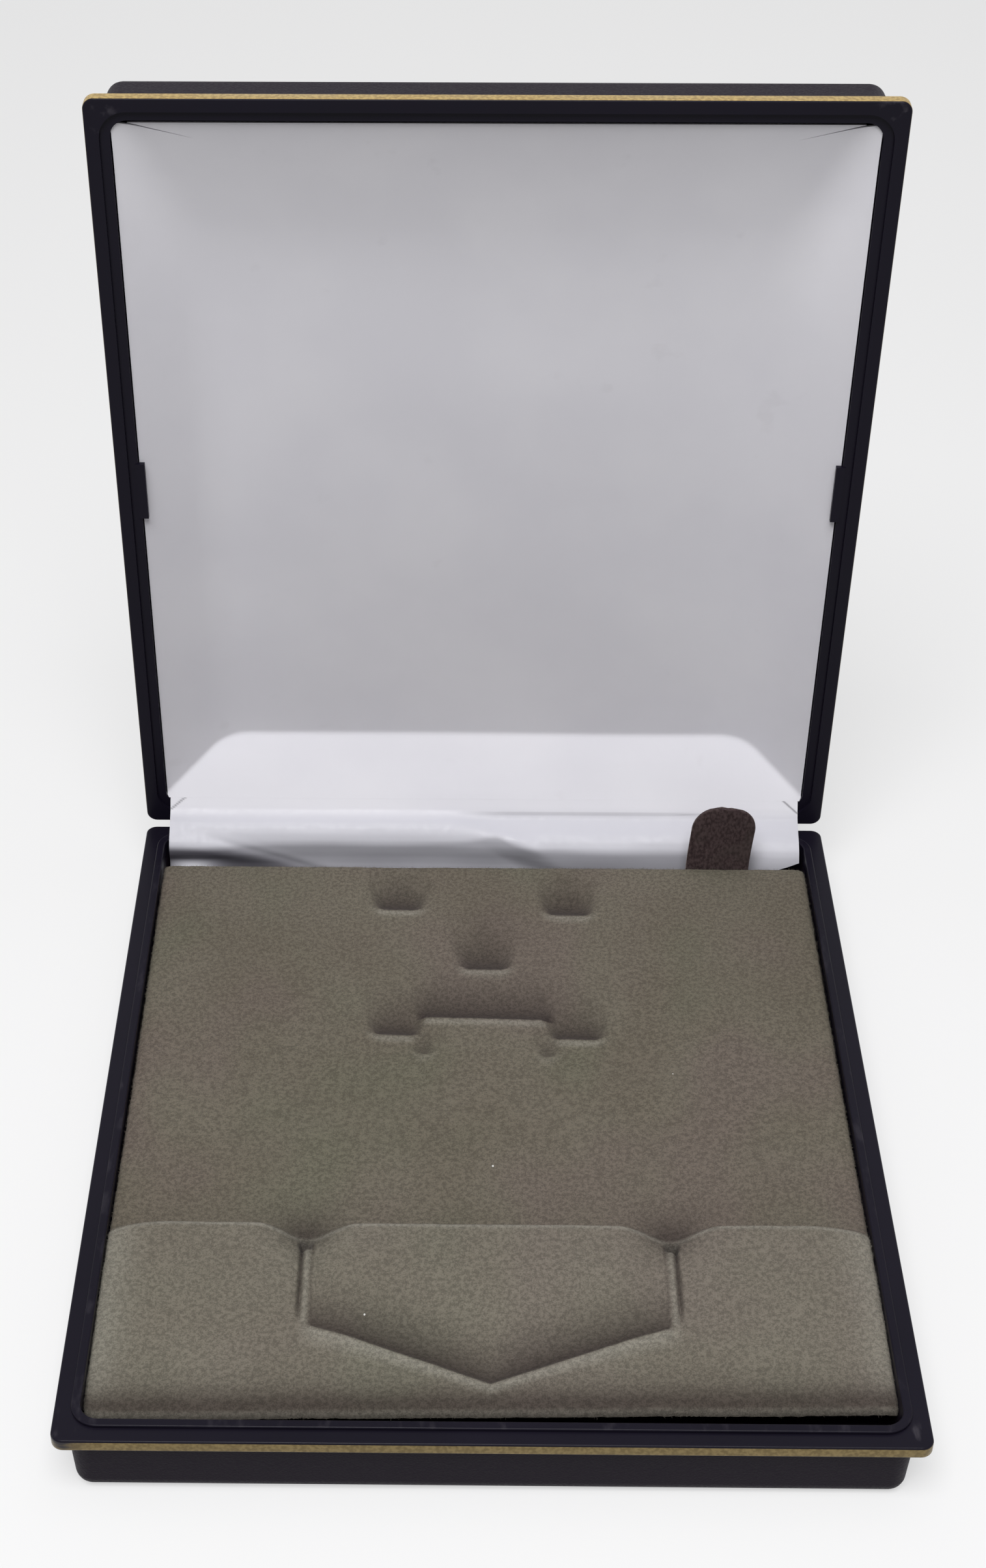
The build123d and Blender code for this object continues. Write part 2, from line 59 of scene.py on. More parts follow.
base_rim_point, base_outward = (0, 0.0775, 0.015), (0, 0, -1)
lid_rim_point = (0, (hinge_y - hinge_setback * open_cos) * MM, (hinge_z + hinge_setback * open_sin) * MM)
lid_outward = (0, open_sin, open_cos)
base_place = Matrix(
    (
        (1, 0, 0, 0),
        (0, -1, 0, base_rim_point[1]),
        (0, 0, -1, base_rim_point[2]),
        (0, 0, 0, 1),
    )
)
lid_place = Matrix(
    (
        (-1, 0, 0, 0),
        (0, -open_cos, open_sin, lid_rim_point[1]),
        (0, open_sin, open_cos, lid_rim_point[2]),
        (0, 0, 0, 1),
    )
)


def put(tree, kind, inputs=None, **settings):
    """Adds one shader node; each input is a plain value or another node's output."""
    node = tree.nodes.new("ShaderNode" + kind)
    for name, value in settings.items():
        setattr(node, name, value)
    for name, value in (inputs or {}).items():
        if isinstance(value, bpy.types.NodeSocket):
            tree.links.new(value, node.inputs[name])
        else:
            node.inputs[name].default_value = value
    return node


def new_finish(name, **constants):
    """New material with its tree, its shader and the object's own coordinates."""
    material = bpy.data.materials.new(name)
    material.use_nodes = True
    tree = material.node_tree
    shader = tree.nodes["Principled BSDF"]
    for socket, value in constants.items():
        shader.inputs[socket.replace("_", " ")].default_value = value
    place = put(tree, "TexCoord").outputs["Object"]
    return material, tree, shader, place


def grain(tree, place, per_metre, detail=2.0, stretch=(1, 1, 1)):
    """Noise from 0 to 1, with a number of grains to the metre."""
    mapped = put(tree, "Mapping", {"Vector": place, "Scale": stretch}).outputs[0]
    return put(tree, "TexNoise", {"Vector": mapped, "Scale": per_metre, "Detail": detail}).outputs[0]


def graded(tree, value, low, high, start=0.0, end=1.0):
    """Eases from start to end while value goes from low to high."""
    inputs = {0: value, 1: low, 2: high, 3: start, 4: end}
    return put(tree, "MapRange", inputs, interpolation_type="SMOOTHSTEP").outputs[0]


def product(tree, first, second):
    """One value times another."""
    return put(tree, "Math", {0: first, 1: second}, operation="MULTIPLY").outputs[0]


def summed(tree, first, second):
    """One value plus another."""
    return put(tree, "Math", {0: first, 1: second}, operation="ADD").outputs[0]


def mixed(tree, share, first, second):
    """Colour that goes from first to second as share goes from 0 to 1."""
    return put(tree, "Mix", {0: share, 6: first, 7: second}, data_type="RGBA").outputs[2]


def bump(tree, shader, height, depth, strength=1.0):
    """Bumps of a real depth in metres."""
    node = put(tree, "Bump", {"Height": height, "Distance": depth, "Strength": strength})
    tree.links.new(node.outputs[0], shader.inputs["Normal"])


def along(tree, place, origin, direction):
    """Distance of a point from origin along a direction."""
    offset = put(tree, "VectorMath", {0: place, 1: origin}, operation="SUBTRACT").outputs[0]
    return put(tree, "VectorMath", {0: offset, 1: direction}, operation="DOT_PRODUCT").outputs["Value"]


def near(tree, place, points, reach):
    """1 at any of the points, down to 0 at reach away from them."""
    total = None
    for point in points:
        away = put(tree, "VectorMath", {0: place, 1: point}, operation="DISTANCE").outputs["Value"]
        share = graded(tree, away, 0.0, reach, 1.0, 0.0)
        total = share if total is None else summed(tree, total, share)
    return total


def moulded_plastic(name, rim_point, outward, corners):
    """Glossy flange, grained body, pale rubbed lip and corners."""
    material, tree, shader, place = new_finish(name, Specular_IOR_Level=0.1)
    depth = along(tree, place, rim_point, outward)
    body_share = graded(tree, depth, 0.0022, 0.0026)
    fine = grain(tree, place, 2600, 3.0)
    cloud = grain(tree, place, 45, 3.0)
    scuff = graded(tree, grain(tree, place, 420, 4.0, (1, 0.35, 1)), 0.56, 0.74)
    flange_colour = mixed(tree, cloud, (0.0062, 0.0052, 0.0108, 1), (0.0095, 0.0078, 0.0155, 1))
    body_colour = mixed(tree, fine, (0.0068, 0.0045, 0.0088, 1), (0.015, 0.0103, 0.0185, 1))
    colour = mixed(tree, body_share, flange_colour, body_colour)
    lip = graded(tree, depth, -0.00035, -0.00058)
    corner = near(tree, place, corners, 0.006)
    wear_and_highlight = product(tree, summed(tree, product(tree, lip, 0.32), corner), scuff)
    colour = mixed(tree, wear_and_highlight, colour, (0.055, 0.05, 0.062, 1))
    tree.links.new(colour, shader.inputs["Base Color"])
    gloss = graded(tree, cloud, 0.3, 0.7, 0.27, 0.36)
    matt = graded(tree, fine, 0.3, 0.7, 0.46, 0.58)
    roughness = put(tree, "Mix", {0: body_share, 2: gloss, 3: matt}).outputs[0]
    tree.links.new(roughness, shader.inputs["Roughness"])
    bump(tree, shader, product(tree, fine, summed(tree, body_share, 0.12)), 0.00005)
    return material


def refinish(node, material):
    """Gives a CAD part a better material."""
    for holder in nodes[node].material_slots:
        holder.material = material


corner_x = 0.0662
base_corners = [(side * corner_x, -0.0758, 0.0152) for side in (-1, 1)]
lid_corners = [lid_place @ Vector((side * corner_x, 0.1532, 0.0002)) for side in (-1, 1)]
refinish("base_shell", moulded_plastic("base_plastic", base_rim_point, base_outward, base_corners))
refinish("lid_shell", moulded_plastic("lid_plastic", lid_rim_point, lid_outward, lid_corners))


# Gold line: hot foil rolled on to the flange edge of each half, along the front
# and both sides. It follows the edge's rounding, and it is dull, slightly speckled
# and worn grey where the case is picked up, at the base's front left corner.
foil_round = 0.34
foil_proud = 0.02
foil_rear_stop = 4.0
worn_reach = 0.0045
case_half_width, case_depth, flange_corner = 68.0, 155.0, 2.0


def growth_tree(name, sizes):
    """Empty Geometry Nodes tree with a geometry input and output and named sizes."""
    tree = bpy.data.node_groups.new(name, "GeometryNodeTree")
    tree.interface.new_socket("Geometry", in_out="INPUT", socket_type="NodeSocketGeometry")
    for label, kind in sizes.items():
        tree.interface.new_socket(label, in_out="INPUT", socket_type="NodeSocket" + kind)
    tree.interface.new_socket("Geometry", in_out="OUTPUT", socket_type="NodeSocketGeometry")
    return tree, tree.nodes.new("NodeGroupInput").outputs


def grow(tree, kind, inputs=None, **settings):
    """Adds one Geometry Nodes node; each input is a plain value or another output."""
    node = tree.nodes.new(kind)
    for name, value in settings.items():
        setattr(node, name, value)
    for name, value in (inputs or {}).items():
        if isinstance(value, bpy.types.NodeSocket):
            tree.links.new(value, node.inputs[name])
        else:
            node.inputs[name].default_value = value
    return node.outputs


def end_growth(tree, geometry, material):
    """Ends a tree in plain mesh with its material."""
    real = grow(tree, "GeometryNodeRealizeInstances", {0: geometry})[0]
    done = grow(tree, "GeometryNodeSetMaterial", {"Geometry": real, "Material": material})[0]
    tree.links.new(done, tree.nodes.new("NodeGroupOutput").inputs[0])


def show(name, mesh):
    """Puts a mesh in the scene as a piece."""
    piece = bpy.data.objects.new(name, mesh)
    bpy.context.scene.collection.objects.link(piece)
    return piece


def grown_mesh(source, tree, sizes):
    """Runs a tree on a source object and returns the plain mesh that it makes."""
    modifier = source.modifiers.new(tree.name, "NODES")
    modifier.node_group = tree
    for socket in tree.interface.items_tree:
        if socket.in_out == "INPUT" and socket.name in sizes:
            modifier[socket.identifier] = sizes[socket.name]
    depsgraph = bpy.context.evaluated_depsgraph_get()
    mesh = bpy.data.meshes.new_from_object(source.evaluated_get(depsgraph))
    source.modifiers.remove(modifier)
    bpy.data.objects.remove(source)
    return mesh


def smoothed(mesh, angle):
    """Smooth faces, with a crease where they meet at more than angle."""
    mesh.shade_smooth()
    mesh.set_sharp_from_angle(angle=math.radians(angle))


def faced_outward(mesh):
    """Merges doubled points and points every face outward."""
    edit = bmesh.new()
    edit.from_mesh(mesh)
    bmesh.ops.remove_doubles(edit, verts=edit.verts, dist=1e-7)
    bmesh.ops.recalc_face_normals(edit, faces=edit.faces)
    edit.to_mesh(mesh)
    edit.free()


def foil_finish(name, dark, light, worn_points=()):
    """Dull foil with flecks, worn through to the plastic near some points."""
    material, tree, shader, place = new_finish(name, Metallic=0.75)
    fleck = grain(tree, place, 1500, 3.0)
    cloud = grain(tree, place, 90, 2.0, (1, 1, 3))
    colour = mixed(tree, graded(tree, fleck, 0.35, 0.65), dark, light)
    if worn_points:
        worn = product(tree, near(tree, place, worn_points, worn_reach), graded(tree, cloud, 0.3, 0.5))
        colour = mixed(tree, worn, colour, (0.035, 0.032, 0.036, 1))
    tree.links.new(colour, shader.inputs["Base Color"])
    tree.links.new(graded(tree, cloud, 0.3, 0.7, 0.3, 0.46), shader.inputs["Roughness"])
    bump(tree, shader, fleck, 0.00002)
    return material


def band_tree(material):
    """Rounded band that follows a path along the flange edge."""
    tree, size = growth_tree("foil_band", {"Height": "Float", "Thickness": "Float", "Round": "Float"})
    path = grow(tree, "GeometryNodeMeshToCurve", {0: size["Geometry"]})[0]
    path = grow(tree, "GeometryNodeSetCurveNormal", {"Curve": path}, mode="Z_UP")[0]
    section = {"Width": size["Thickness"], "Height": size["Height"]}
    section = grow(tree, "GeometryNodeCurvePrimitiveQuadrilateral", section)[0]
    rounding = {"Curve": section, "Count": 5, "Radius": size["Round"], "Limit Radius": True}
    section = grow(tree, "GeometryNodeFilletCurve", rounding, mode="POLY")[0]
    band = {"Curve": path, "Profile Curve": section, "Fill Caps": True}
    end_growth(tree, grow(tree, "GeometryNodeCurveToMesh", band)[0], material)
    return tree


def edge_path(inset, level):
    """Open path round the flange edge: x, distance from the rear, depth below the rim."""
    corner = flange_corner - inset
    x, front = case_half_width - inset, case_depth - inset
    points = [(-x, foil_rear_stop, level)]
    centre_y, steps = front - corner, 8
    for centre_x, start in ((-x + corner, 180), (x - corner, 90)):
        for step in range(steps + 1):
            angle = math.radians(start - step * 90 / steps)
            points.append((centre_x + corner * math.cos(angle), centre_y + corner * math.sin(angle), level))
    points.append((x, foil_rear_stop, level))
    return points


def gold_line(name, body, half_place, start, end, material):
    """One half's foil, from start to end below the rim face."""
    mesh = bpy.data.meshes.new("foil_path")
    points = edge_path(foil_round / 2 - foil_proud, (start + end) / 2)
    links = [(i, i + 1) for i in range(len(points) - 1)]
    mesh.from_pydata([Vector(point) * MM for point in points], links, [])
    rounding = foil_round - foil_proud
    sizes = {"Height": (end - start) * MM, "Thickness": foil_round * MM, "Round": rounding * MM}
    band = grown_mesh(show("foil_path", mesh), band_tree(material), sizes)
    band.transform(half_place)
    faced_outward(band)
    smoothed(band, 35)
    piece = show(name, band)
    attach(piece, body)
    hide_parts(body + "_gold_line")


worn_edge = [(-0.068, -0.0775, 0.014), (-0.0655, -0.0778, 0.014)]
# The base's foil is the same foil as the lid's but coloured much darker: painted shade
base_gold_shaded = foil_finish("base_foil", (0.155, 0.112, 0.045, 1), (0.235, 0.175, 0.075, 1), worn_edge)
lid_gold = foil_finish("lid_foil", (0.39, 0.27, 0.105, 1), (0.58, 0.425, 0.17, 1))
gold_line("base_foil_band", "base", base_place, 0.25, 2.15, base_gold_shaded)
gold_line("lid_foil_band", "lid", lid_place, 0.34, 2.32, lid_gold)


# Hinges: two spring hinges inside the rear walls, hidden from the front by the
# liner's flap. Leaves and springs are pressed from bright strip steel, the pins
# are drawn wire, and the rivets are set cold, so each has its own brushing.
def steel_finish(name, colour, dull, stretch):
    """Steel brushed across the direction that is stretched least, with faint brown stains."""
    material, tree, shader, place = new_finish(name, Metallic=1.0)
    brush = grain(tree, place, 60, 4.0, stretch)
    stain = grain(tree, place, 350, 3.0)
    shade = mixed(tree, product(tree, graded(tree, stain, 0.55, 0.75), 0.6), colour, (0.16, 0.14, 0.12, 1))
    tree.links.new(shade, shader.inputs["Base Color"])
    tree.links.new(graded(tree, brush, 0.3, 0.7, dull - 0.08, dull + 0.1), shader.inputs["Roughness"])
    bump(tree, shader, brush, 0.00003)
    return material


leaf_steel = steel_finish("leaf_steel", (0.5, 0.49, 0.47, 1), 0.34, (1, 40, 40))
spring_steel = steel_finish("spring_steel", (0.33, 0.33, 0.35, 1), 0.28, (40, 40, 1))
pin_steel = steel_finish("pin_steel", (0.55, 0.54, 0.52, 1), 0.22, (60, 10, 10))
rivet_steel = steel_finish("rivet_steel", (0.6, 0.58, 0.55, 1), 0.3, (20, 20, 20))
for hinge_side in ("left", "right"):
    refinish("base_hinge_leaf_" + hinge_side, leaf_steel)
    refinish("lid_hinge_leaf_" + hinge_side, leaf_steel)
    refinish("hinge_pin_" + hinge_side, pin_steel)
    refinish("hinge_spring_" + hinge_side, spring_steel)
for rivets in ("base_hinge_rivets", "lid_hinge_rivets", "spring_rivets"):
    refinish(rivets, rivet_steel)


# Liner: one blank of white satin card, creased into a shallow dish with four
# sloping sides. The sides and the top are bent softly and the lower one crisply.
# Each corner is slit so that it can fold: the upper two are cut through, the lower two are painted shade on
# the flap. Lugs in the lid hold its edges.
liner_half_width, liner_rear, liner_front = 63.7, 5.45, 150.2
liner_face, liner_drop, liner_rear_rise, card_thickness = 1.7, 8.1, 0.7, 0.5
side_slope, front_slope, rear_slope = 13.0, 24.0, 11.5
soft_bend, top_bend, crisp_bend, mitre_bend = 2.7, 9.0, 0.45, 0.3
slit_wedge = ((62.9, 150.35), (62.8, 150.75), (50.0, 146.9))
slit_through = (-1.0, 13.0)


def eased_low(first, second, width):
    """Lower of two heights, rounded where they cross."""
    share = np.clip(0.5 + 0.5 * (second - first) / width, 0, 1)
    return second * (1 - share) + first * share - width * share * (1 - share)


def eased_high(first, second, width):
    """Higher of two heights, rounded where they cross."""
    return -eased_low(-first, -second, width)


def eased_step(value, low, high):
    """0 up to low, 1 from high on, eased between them."""
    share = np.clip((value - low) / (high - low), 0, 1)
    return share * share * (3 - 2 * share)


def lines(*runs):
    """Grid lines from runs of (start, end, spacing)."""
    places = [np.linspace(a, b, max(2, int(round((b - a) / step)) + 1)) for a, b, step in runs]
    return np.unique(np.round(np.concatenate(places), 4))


def waves(x, y, seed, shortest, longest, count=9):
    """Smooth unevenness of about 1 either way, from a fixed seed."""
    draw = np.random.default_rng(seed)
    total = 0
    for _ in range(count):
        turn, phase = draw.uniform(0, math.tau, 2)
        length = draw.uniform(shortest, longest)
        total = total + np.sin((x * math.cos(turn) + y * math.sin(turn)) * math.tau / length + phase)
    return total / math.sqrt(count)


def closed_sheet(name, top, bottom, material, shares=None):
    """Closed piece between two grids of points in millimetres, with shares as attributes."""
    rows, columns = top.shape[:2]
    spot = np.arange(rows * columns).reshape(rows, columns)
    quads = np.stack([spot[:-1, :-1], spot[:-1, 1:], spot[1:, 1:], spot[1:, :-1]], -1)
    quads = quads.reshape(-1, 4)
    rim = np.concatenate([spot[0, :-1], spot[:-1, -1], spot[-1, :0:-1], spot[:0:-1, 0]])
    under = rows * columns
    ahead = np.roll(rim, -1)
    wall = np.stack([ahead, rim, rim + under, ahead + under], -1)
    faces = np.concatenate([quads, quads[:, ::-1] + under, wall])
    points = np.concatenate([top.reshape(-1, 3), bottom.reshape(-1, 3)]) * MM
    mesh = bpy.data.meshes.new(name)
    mesh.from_pydata(points.tolist(), [], faces.tolist())
    mesh.materials.append(material)
    for label, share in (shares or {}).items():
        attribute = mesh.attributes.new(label, "FLOAT", "POINT")
        both = np.concatenate([share.ravel(), share.ravel()]).astype(np.float32)
        attribute.data.foreach_set("value", both)
    faced_outward(mesh)
    return show(name, mesh)


def lid_points(x, u, n):
    """Points of the lid's frame in the case's: u from the rear edge, n outward."""
    y = hinge_y + n * open_sin - (hinge_setback + u) * open_cos
    z = hinge_z + (hinge_setback + u) * open_sin + n * open_cos
    return np.stack([x, y, z], -1)


def liner_depth(x, u):
    """How far the card lies below the lid's rim face."""
    left = eased_low((x + liner_half_width) * liner_drop / side_slope, liner_drop, soft_bend)
    right = eased_low((liner_half_width - x) * liner_drop / side_slope, liner_drop, soft_bend)
    top = eased_low((liner_front - u) * liner_drop / front_slope, liner_drop, top_bend)
    low = (u - liner_rear) * (liner_drop + liner_rear_rise) / rear_slope - liner_rear_rise
    low = eased_low(low, liner_drop, crisp_bend)
    dish = eased_low(eased_low(eased_low(left, right, mitre_bend), top, soft_bend), low, mitre_bend)
    return liner_face + dish + 0.09 * waves(x, u, 3, 35, 120) * np.clip(dish / 4, 0, 1)


def slit_cutter():
    """Two thin wedges along the folds of the upper corners."""
    cutter = bmesh.new()
    corners = np.array(slit_wedge)
    for side in (-1, 1):
        rings = []
        for depth in slit_through:
            ring = lid_points(side * corners[:, 0], corners[:, 1], np.full(3, depth))
            rings.append([cutter.verts.new(point * MM) for point in ring])
        cutter.faces.new(rings[0])
        cutter.faces.new(rings[1][::-1])
        for i in range(3):
            j = (i + 1) % 3
            cutter.faces.new((rings[0][j], rings[0][i], rings[1][i], rings[1][j]))
    bmesh.ops.recalc_face_normals(cutter, faces=cutter.faces)
    mesh = bpy.data.meshes.new("slit_cutter")
    cutter.to_mesh(mesh)
    cutter.free()
    return show("slit_cutter", mesh)


def card_finish(name):
    """White satin card: faint fibre clouding, a soft gloss, greyer towards the bottom, painted shade low on
    the flap and where its attribute says.
    """
    material, tree, shader, place = new_finish(name, Specular_IOR_Level=0.45)
    cloud = grain(tree, place, 35, 3.0)
    fibre = grain(tree, place, 900, 4.0, (1, 1, 0.5))
    height = along(tree, place, (0, 0, 0), (0, 0, 1))
    clouded = graded(tree, cloud, 0.3, 0.7)
    upper_card_colour = mixed(tree, clouded, (0.83, 0.82, 0.87, 1), (0.875, 0.865, 0.91, 1))
    lower_card_colour = mixed(tree, clouded, (0.75, 0.74, 0.795, 1), (0.79, 0.78, 0.83, 1))
    colour = mixed(tree, graded(tree, height, 0.158, 0.1), upper_card_colour, lower_card_colour)
    # Painted shade on the flap's low part, down in the gap behind the tray
    low_painted_shade = graded(tree, height, 0.0202, 0.0178)
    colour = mixed(tree, low_painted_shade, colour, (0.61, 0.605, 0.66, 1))
    mark = product(tree, graded(tree, grain(tree, place, 130, 5.0), 0.66, 0.76), 0.12)
    colour = mixed(tree, mark, colour, (0.55, 0.53, 0.56, 1))
    # Painted shade from the piece's attribute: dark lines for the slits and the crease, and the flap's
    # shaded turned-under part
    painted_shade = put(tree, "Attribute", attribute_name="painted_shade").outputs["Fac"]
    colour = mixed(tree, painted_shade, colour, (0.11, 0.105, 0.125, 1))
    tree.links.new(colour, shader.inputs["Base Color"])
    tree.links.new(graded(tree, fibre, 0.3, 0.7, 0.42, 0.56), shader.inputs["Roughness"])
    bump(tree, shader, fibre, 0.000012)
    return material


white_card = card_finish("white_card")
liner_x = lines((-liner_half_width, -46, 0.5), (-46, 46, 2.3), (46, liner_half_width, 0.5))
liner_u = lines((liner_rear, 19.45, 0.4), (19.45, 120, 2.3), (120, liner_front, 0.6))
grid_x, grid_u = np.meshgrid(liner_x, liner_u)
grid_n = liner_depth(grid_x, grid_u)
card_front = lid_points(grid_x, grid_u, grid_n)
card_back = lid_points(grid_x, grid_u, grid_n + card_thickness)
liner = closed_sheet("liner_card", card_front, card_back, white_card)
cutter = slit_cutter()
cut = liner.modifiers.new("slits", "BOOLEAN")
cut.operation, cut.solver, cut.object = "DIFFERENCE", "EXACT", cutter
depsgraph = bpy.context.evaluated_depsgraph_get()
liner.data = bpy.data.meshes.new_from_object(liner.evaluated_get(depsgraph))
liner.modifiers.remove(cut)
bpy.data.objects.remove(cutter)
smoothed(liner.data, 32)
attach(liner, "lid")
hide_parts("lid_liner")


# Flap: the liner's lower flange, left flat when the blank is cut. It runs down over
# the hinges into the gap behind the tray, and it bends each time the lid is moved,
# so it has gone wavy. Its right end is cut at a slant, and its left end curls.
flap_half_width, flap_thickness, flap_length = 63.1, 0.35, 21.6
flap_rows, flap_rounding = 64, 1.3
# Points (y, z) down the flap: first those that all of it shares, then three places across it
ramp_end = [(78.9, 21.22), (78.25, 20.26), (77.6, 19.3)]
hang_left = [
    (76.6, 18.2), (75.0, 17.4), (73.6, 16.8), (72.5, 16.1), (71.7, 15.2), (71.2, 14.1), (71.1, 12.8),
    (71.5, 11.4), (71.7, 10.2), (71.4, 9.0), (71.1, 7.4), (71.1, 4.0),
]
hang_middle = [
    (76.6, 18.5), (75.2, 17.95), (74.2, 17.25), (73.4, 16.35), (72.75, 15.3), (72.3, 14.1), (72.1, 12.8),
    (72.0, 11.6), (71.75, 10.4), (71.3, 9.2), (71.05, 7.4), (71.1, 4.0),
]
hang_right = [
    (76.6, 18.1), (75.0, 17.2), (73.4, 16.4), (72.3, 15.6), (71.4, 14.5), (70.8, 13.2), (70.4, 11.9),
    (70.1, 10.6), (70.0, 9.4), (70.1, 8.2), (70.3, 6.8), (70.6, 4.0),
]


def smooth_run(points, count, window):
    """Points spaced evenly along a run of straight pieces, with its corners rounded."""
    points, fine_count = np.array(points), 400
    lengths = np.concatenate([[0], np.cumsum(np.linalg.norm(np.diff(points, axis=0), axis=1))])
    fine = np.linspace(0, lengths[-1], fine_count)
    run = np.stack([np.interp(fine, lengths, points[:, i]) for i in range(points.shape[1])], -1)
    half = max(1, int(window / lengths[-1] * fine_count / 2))
    padded = np.concatenate([2 * run[0] - run[half:0:-1], run, 2 * run[-1] - run[-2:-half - 2:-1]])
    kernel = np.hanning(2 * half + 3)[1:-1]
    kernel /= kernel.sum()
    run = np.stack([np.convolve(padded[:, i], kernel, "valid") for i in range(points.shape[1])], -1)
    return run[np.linspace(0, fine_count - 1, count).astype(int)]


def bell(distance, width, power=2):
    """1 where distance is 0, fading over a width."""
    return np.exp(-(distance / width) ** power)


def across_run(run):
    """Unit directions at right angles to a run in the Y and Z plane."""
    step = np.gradient(run, axis=0)
    step /= np.linalg.norm(step, axis=1)[:, None]
    return np.stack([-step[:, 1], step[:, 0]], -1)


flap_x = lines(
    (-flap_half_width, -58, 0.25), (-58, -50, 0.5), (-50, 0, 0.9), (0, 14, 0.4),
    (14, 50, 0.9), (50, 58, 0.5), (58, flap_half_width, 0.25),
)
hangs = (hang_left, hang_middle, hang_right)
flap_runs = [smooth_run(ramp_end + hang, flap_rows, flap_rounding) for hang in hangs]
across = np.ones(flap_rows)[:, None] * flap_x[None, :]
cut_away = np.clip((across - 38) / 62, 0, 1)
down = np.linspace(0, 1, flap_rows)[:, None] * (1 - cut_away)
low_row = np.clip((down * (flap_rows - 1)).astype(int), 0, flap_rows - 2)
part = (down * (flap_rows - 1) - low_row)[..., None]
to_middle = eased_step(across - 60 * (down - 0.5), -60, -42)[..., None]
to_right = eased_step(across - 30 * (down - 0.4), -3, 8)[..., None]
# Three runs down the flap, at its left end, middle and right end, blended across it
flap_yz, flap_out = 0, 0
for run, weight in zip(flap_runs, (1 - to_middle, to_middle - to_right, to_right)):
    side = across_run(run)
    flap_yz = flap_yz + weight * (run[low_row] * (1 - part) + run[low_row + 1] * part)
    flap_out = flap_out + weight * (side[low_row] * (1 - part) + side[low_row + 1] * part)
# Ripples of the loose part, its curled left end, and the folds that bound the middle
loose = eased_step(down, 0.3, 0.55)
ripple = 0.13 * waves(across, down * 24, 11, 9, 30) * loose
ripple += 1.7 * bell(across + 58.5, 4.5) * eased_step(down, 0.63, 0.8)
ripple += 1.2 * eased_step(across, 47, 60) * eased_step(down, 0.32, 0.65)
ripple -= 0.22 * bell(across + 49 - 60 * (down - 0.5), 2.4) * loose
fold = bell(across - 6.5 - 30 * (down - 0.4), 2.6)
ripple += 0.22 * fold * eased_step(down, 0.3, 0.42) * (1 - eased_step(down, 0.5, 0.6))
ripple += 0.06 * waves(across, down * 20, 5, 14, 50) * eased_step(down, 0.1, 0.2)
flap_yz = flap_yz - flap_out * ripple[..., None]
# Painted shade: the slit at each upper corner, a crease, and the part that is turned under
corner_slit = np.abs(np.abs(across) - 60.2 - 24 * down) / 1.5
flap_painted_shade = 0.85 * bell(corner_slit, 0.16) * (1 - eased_step(down, 0.11, 0.14))
crease = bell(down - 0.135, 0.012) * eased_step(across, -6, 6) * (1 - eased_step(across, 40, 48))
flap_painted_shade = flap_painted_shade + 0.4 * crease
weight_middle, weight_right = to_middle[..., 0], to_right[..., 0]
peak = bell(np.abs(across - 2.7), np.where(across < 2.7, 3.4, 2.6), 1.5)
edge_of_shade = 0.47 - 0.05 * weight_middle + 0.06 * weight_right - 0.09 * peak
wavering = down + 0.02 * waves(across, 0 * down, 6, 20, 60)
turned_under = eased_step(wavering, edge_of_shade, edge_of_shade + 0.08)
turned_under = turned_under * (1.0 - 0.6 * weight_middle + 0.08 * weight_right)
curled = bell(across + 59, 5) * eased_step(down, 0.63, 0.68)
flap_painted_shade = flap_painted_shade + turned_under * (1 - 0.8 * curled)
flap_painted_shade = flap_painted_shade * (1 - 0.7 * eased_step(across, 50, 57) * eased_step(down, 0.2, 0.3))
flap_front = np.dstack([across, flap_yz])
flap_back = np.dstack([across, flap_yz + flap_out * flap_thickness])
flap_card = closed_sheet("flap_card", flap_front, flap_back, white_card, {"painted_shade": flap_painted_shade})
smoothed(flap_card.data, 60)
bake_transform(flap_card)
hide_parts("hinge_flap")


# Tray: grey-brown flocked sheet, drawn over a mould into a raised front roll, a
# V-shaped pocket with a slit at each end, and dished slots. It lies on ribs, a
# little askew. Its forms are soft because the flock rounds every edge.
# The flock carries painted shade in its hollows and painted highlights on its edges, through two attributes
tray_half_width, tray_rear, tray_level, tray_thickness = 63.4, 65.5, 14.2, 1.0
roll_crest, roll_rise, roll_back = -32.3, 1.8, 1.3
dip_place, dip_half_width, dip_back, dip_rise = 30.2, 8.6, 2.0, 0.3
pocket_half, pocket_top, pocket_shoulder, pocket_point = 29.1, -42.0, -53.3, -64.8
slit_place, slit_start, slit_end = 31.0, -34.4, -52.0
ridge_place, seam_place, hole_place, drawn_place = 30.0, 29.15, 30.5, 30.4
front_place, front_skew = -70.9, 2.3
dish_skew = -0.027
# Each dish: middle, front, half width, depth, where it is deepest, length
dishes = [
    (-16.6, 51.2, 4.2, 2.2, 6.2, 13.5),
    (16.3, 50.8, 4.2, 2.2, 6.2, 13.5),
    (0.0, 34.2, 4.3, 2.2, 7.0, 16.0),
    (-16.6, 15.4, 4.1, 2.0, 5.6, 12.0),
    (16.6, 15.4, 4.5, 1.9, 5.6, 12.0),
    (0.0, 20.5, 12.9, 1.5, 5.0, 12.0),
    (-11.4, 10.4, 1.2, 0.8, 2.4, 9.0),
    (11.2, 10.4, 1.2, 0.75, 2.4, 9.0),
]


def tray_front_line(x):
    """Front edge of the tray, set askew, with its two corners rounded."""
    corner = np.clip((-61.4 - x) / 2.0, 0, 1)
    right = np.clip((x - 62.2) / 1.2, 0, 1)
    rounding = 2.0 * (1 - np.sqrt(1 - corner * corner)) + 0.6 * (1 - np.sqrt(1 - right * right))
    return front_place + front_skew * (x + tray_half_width) / (2 * tray_half_width) + rounding


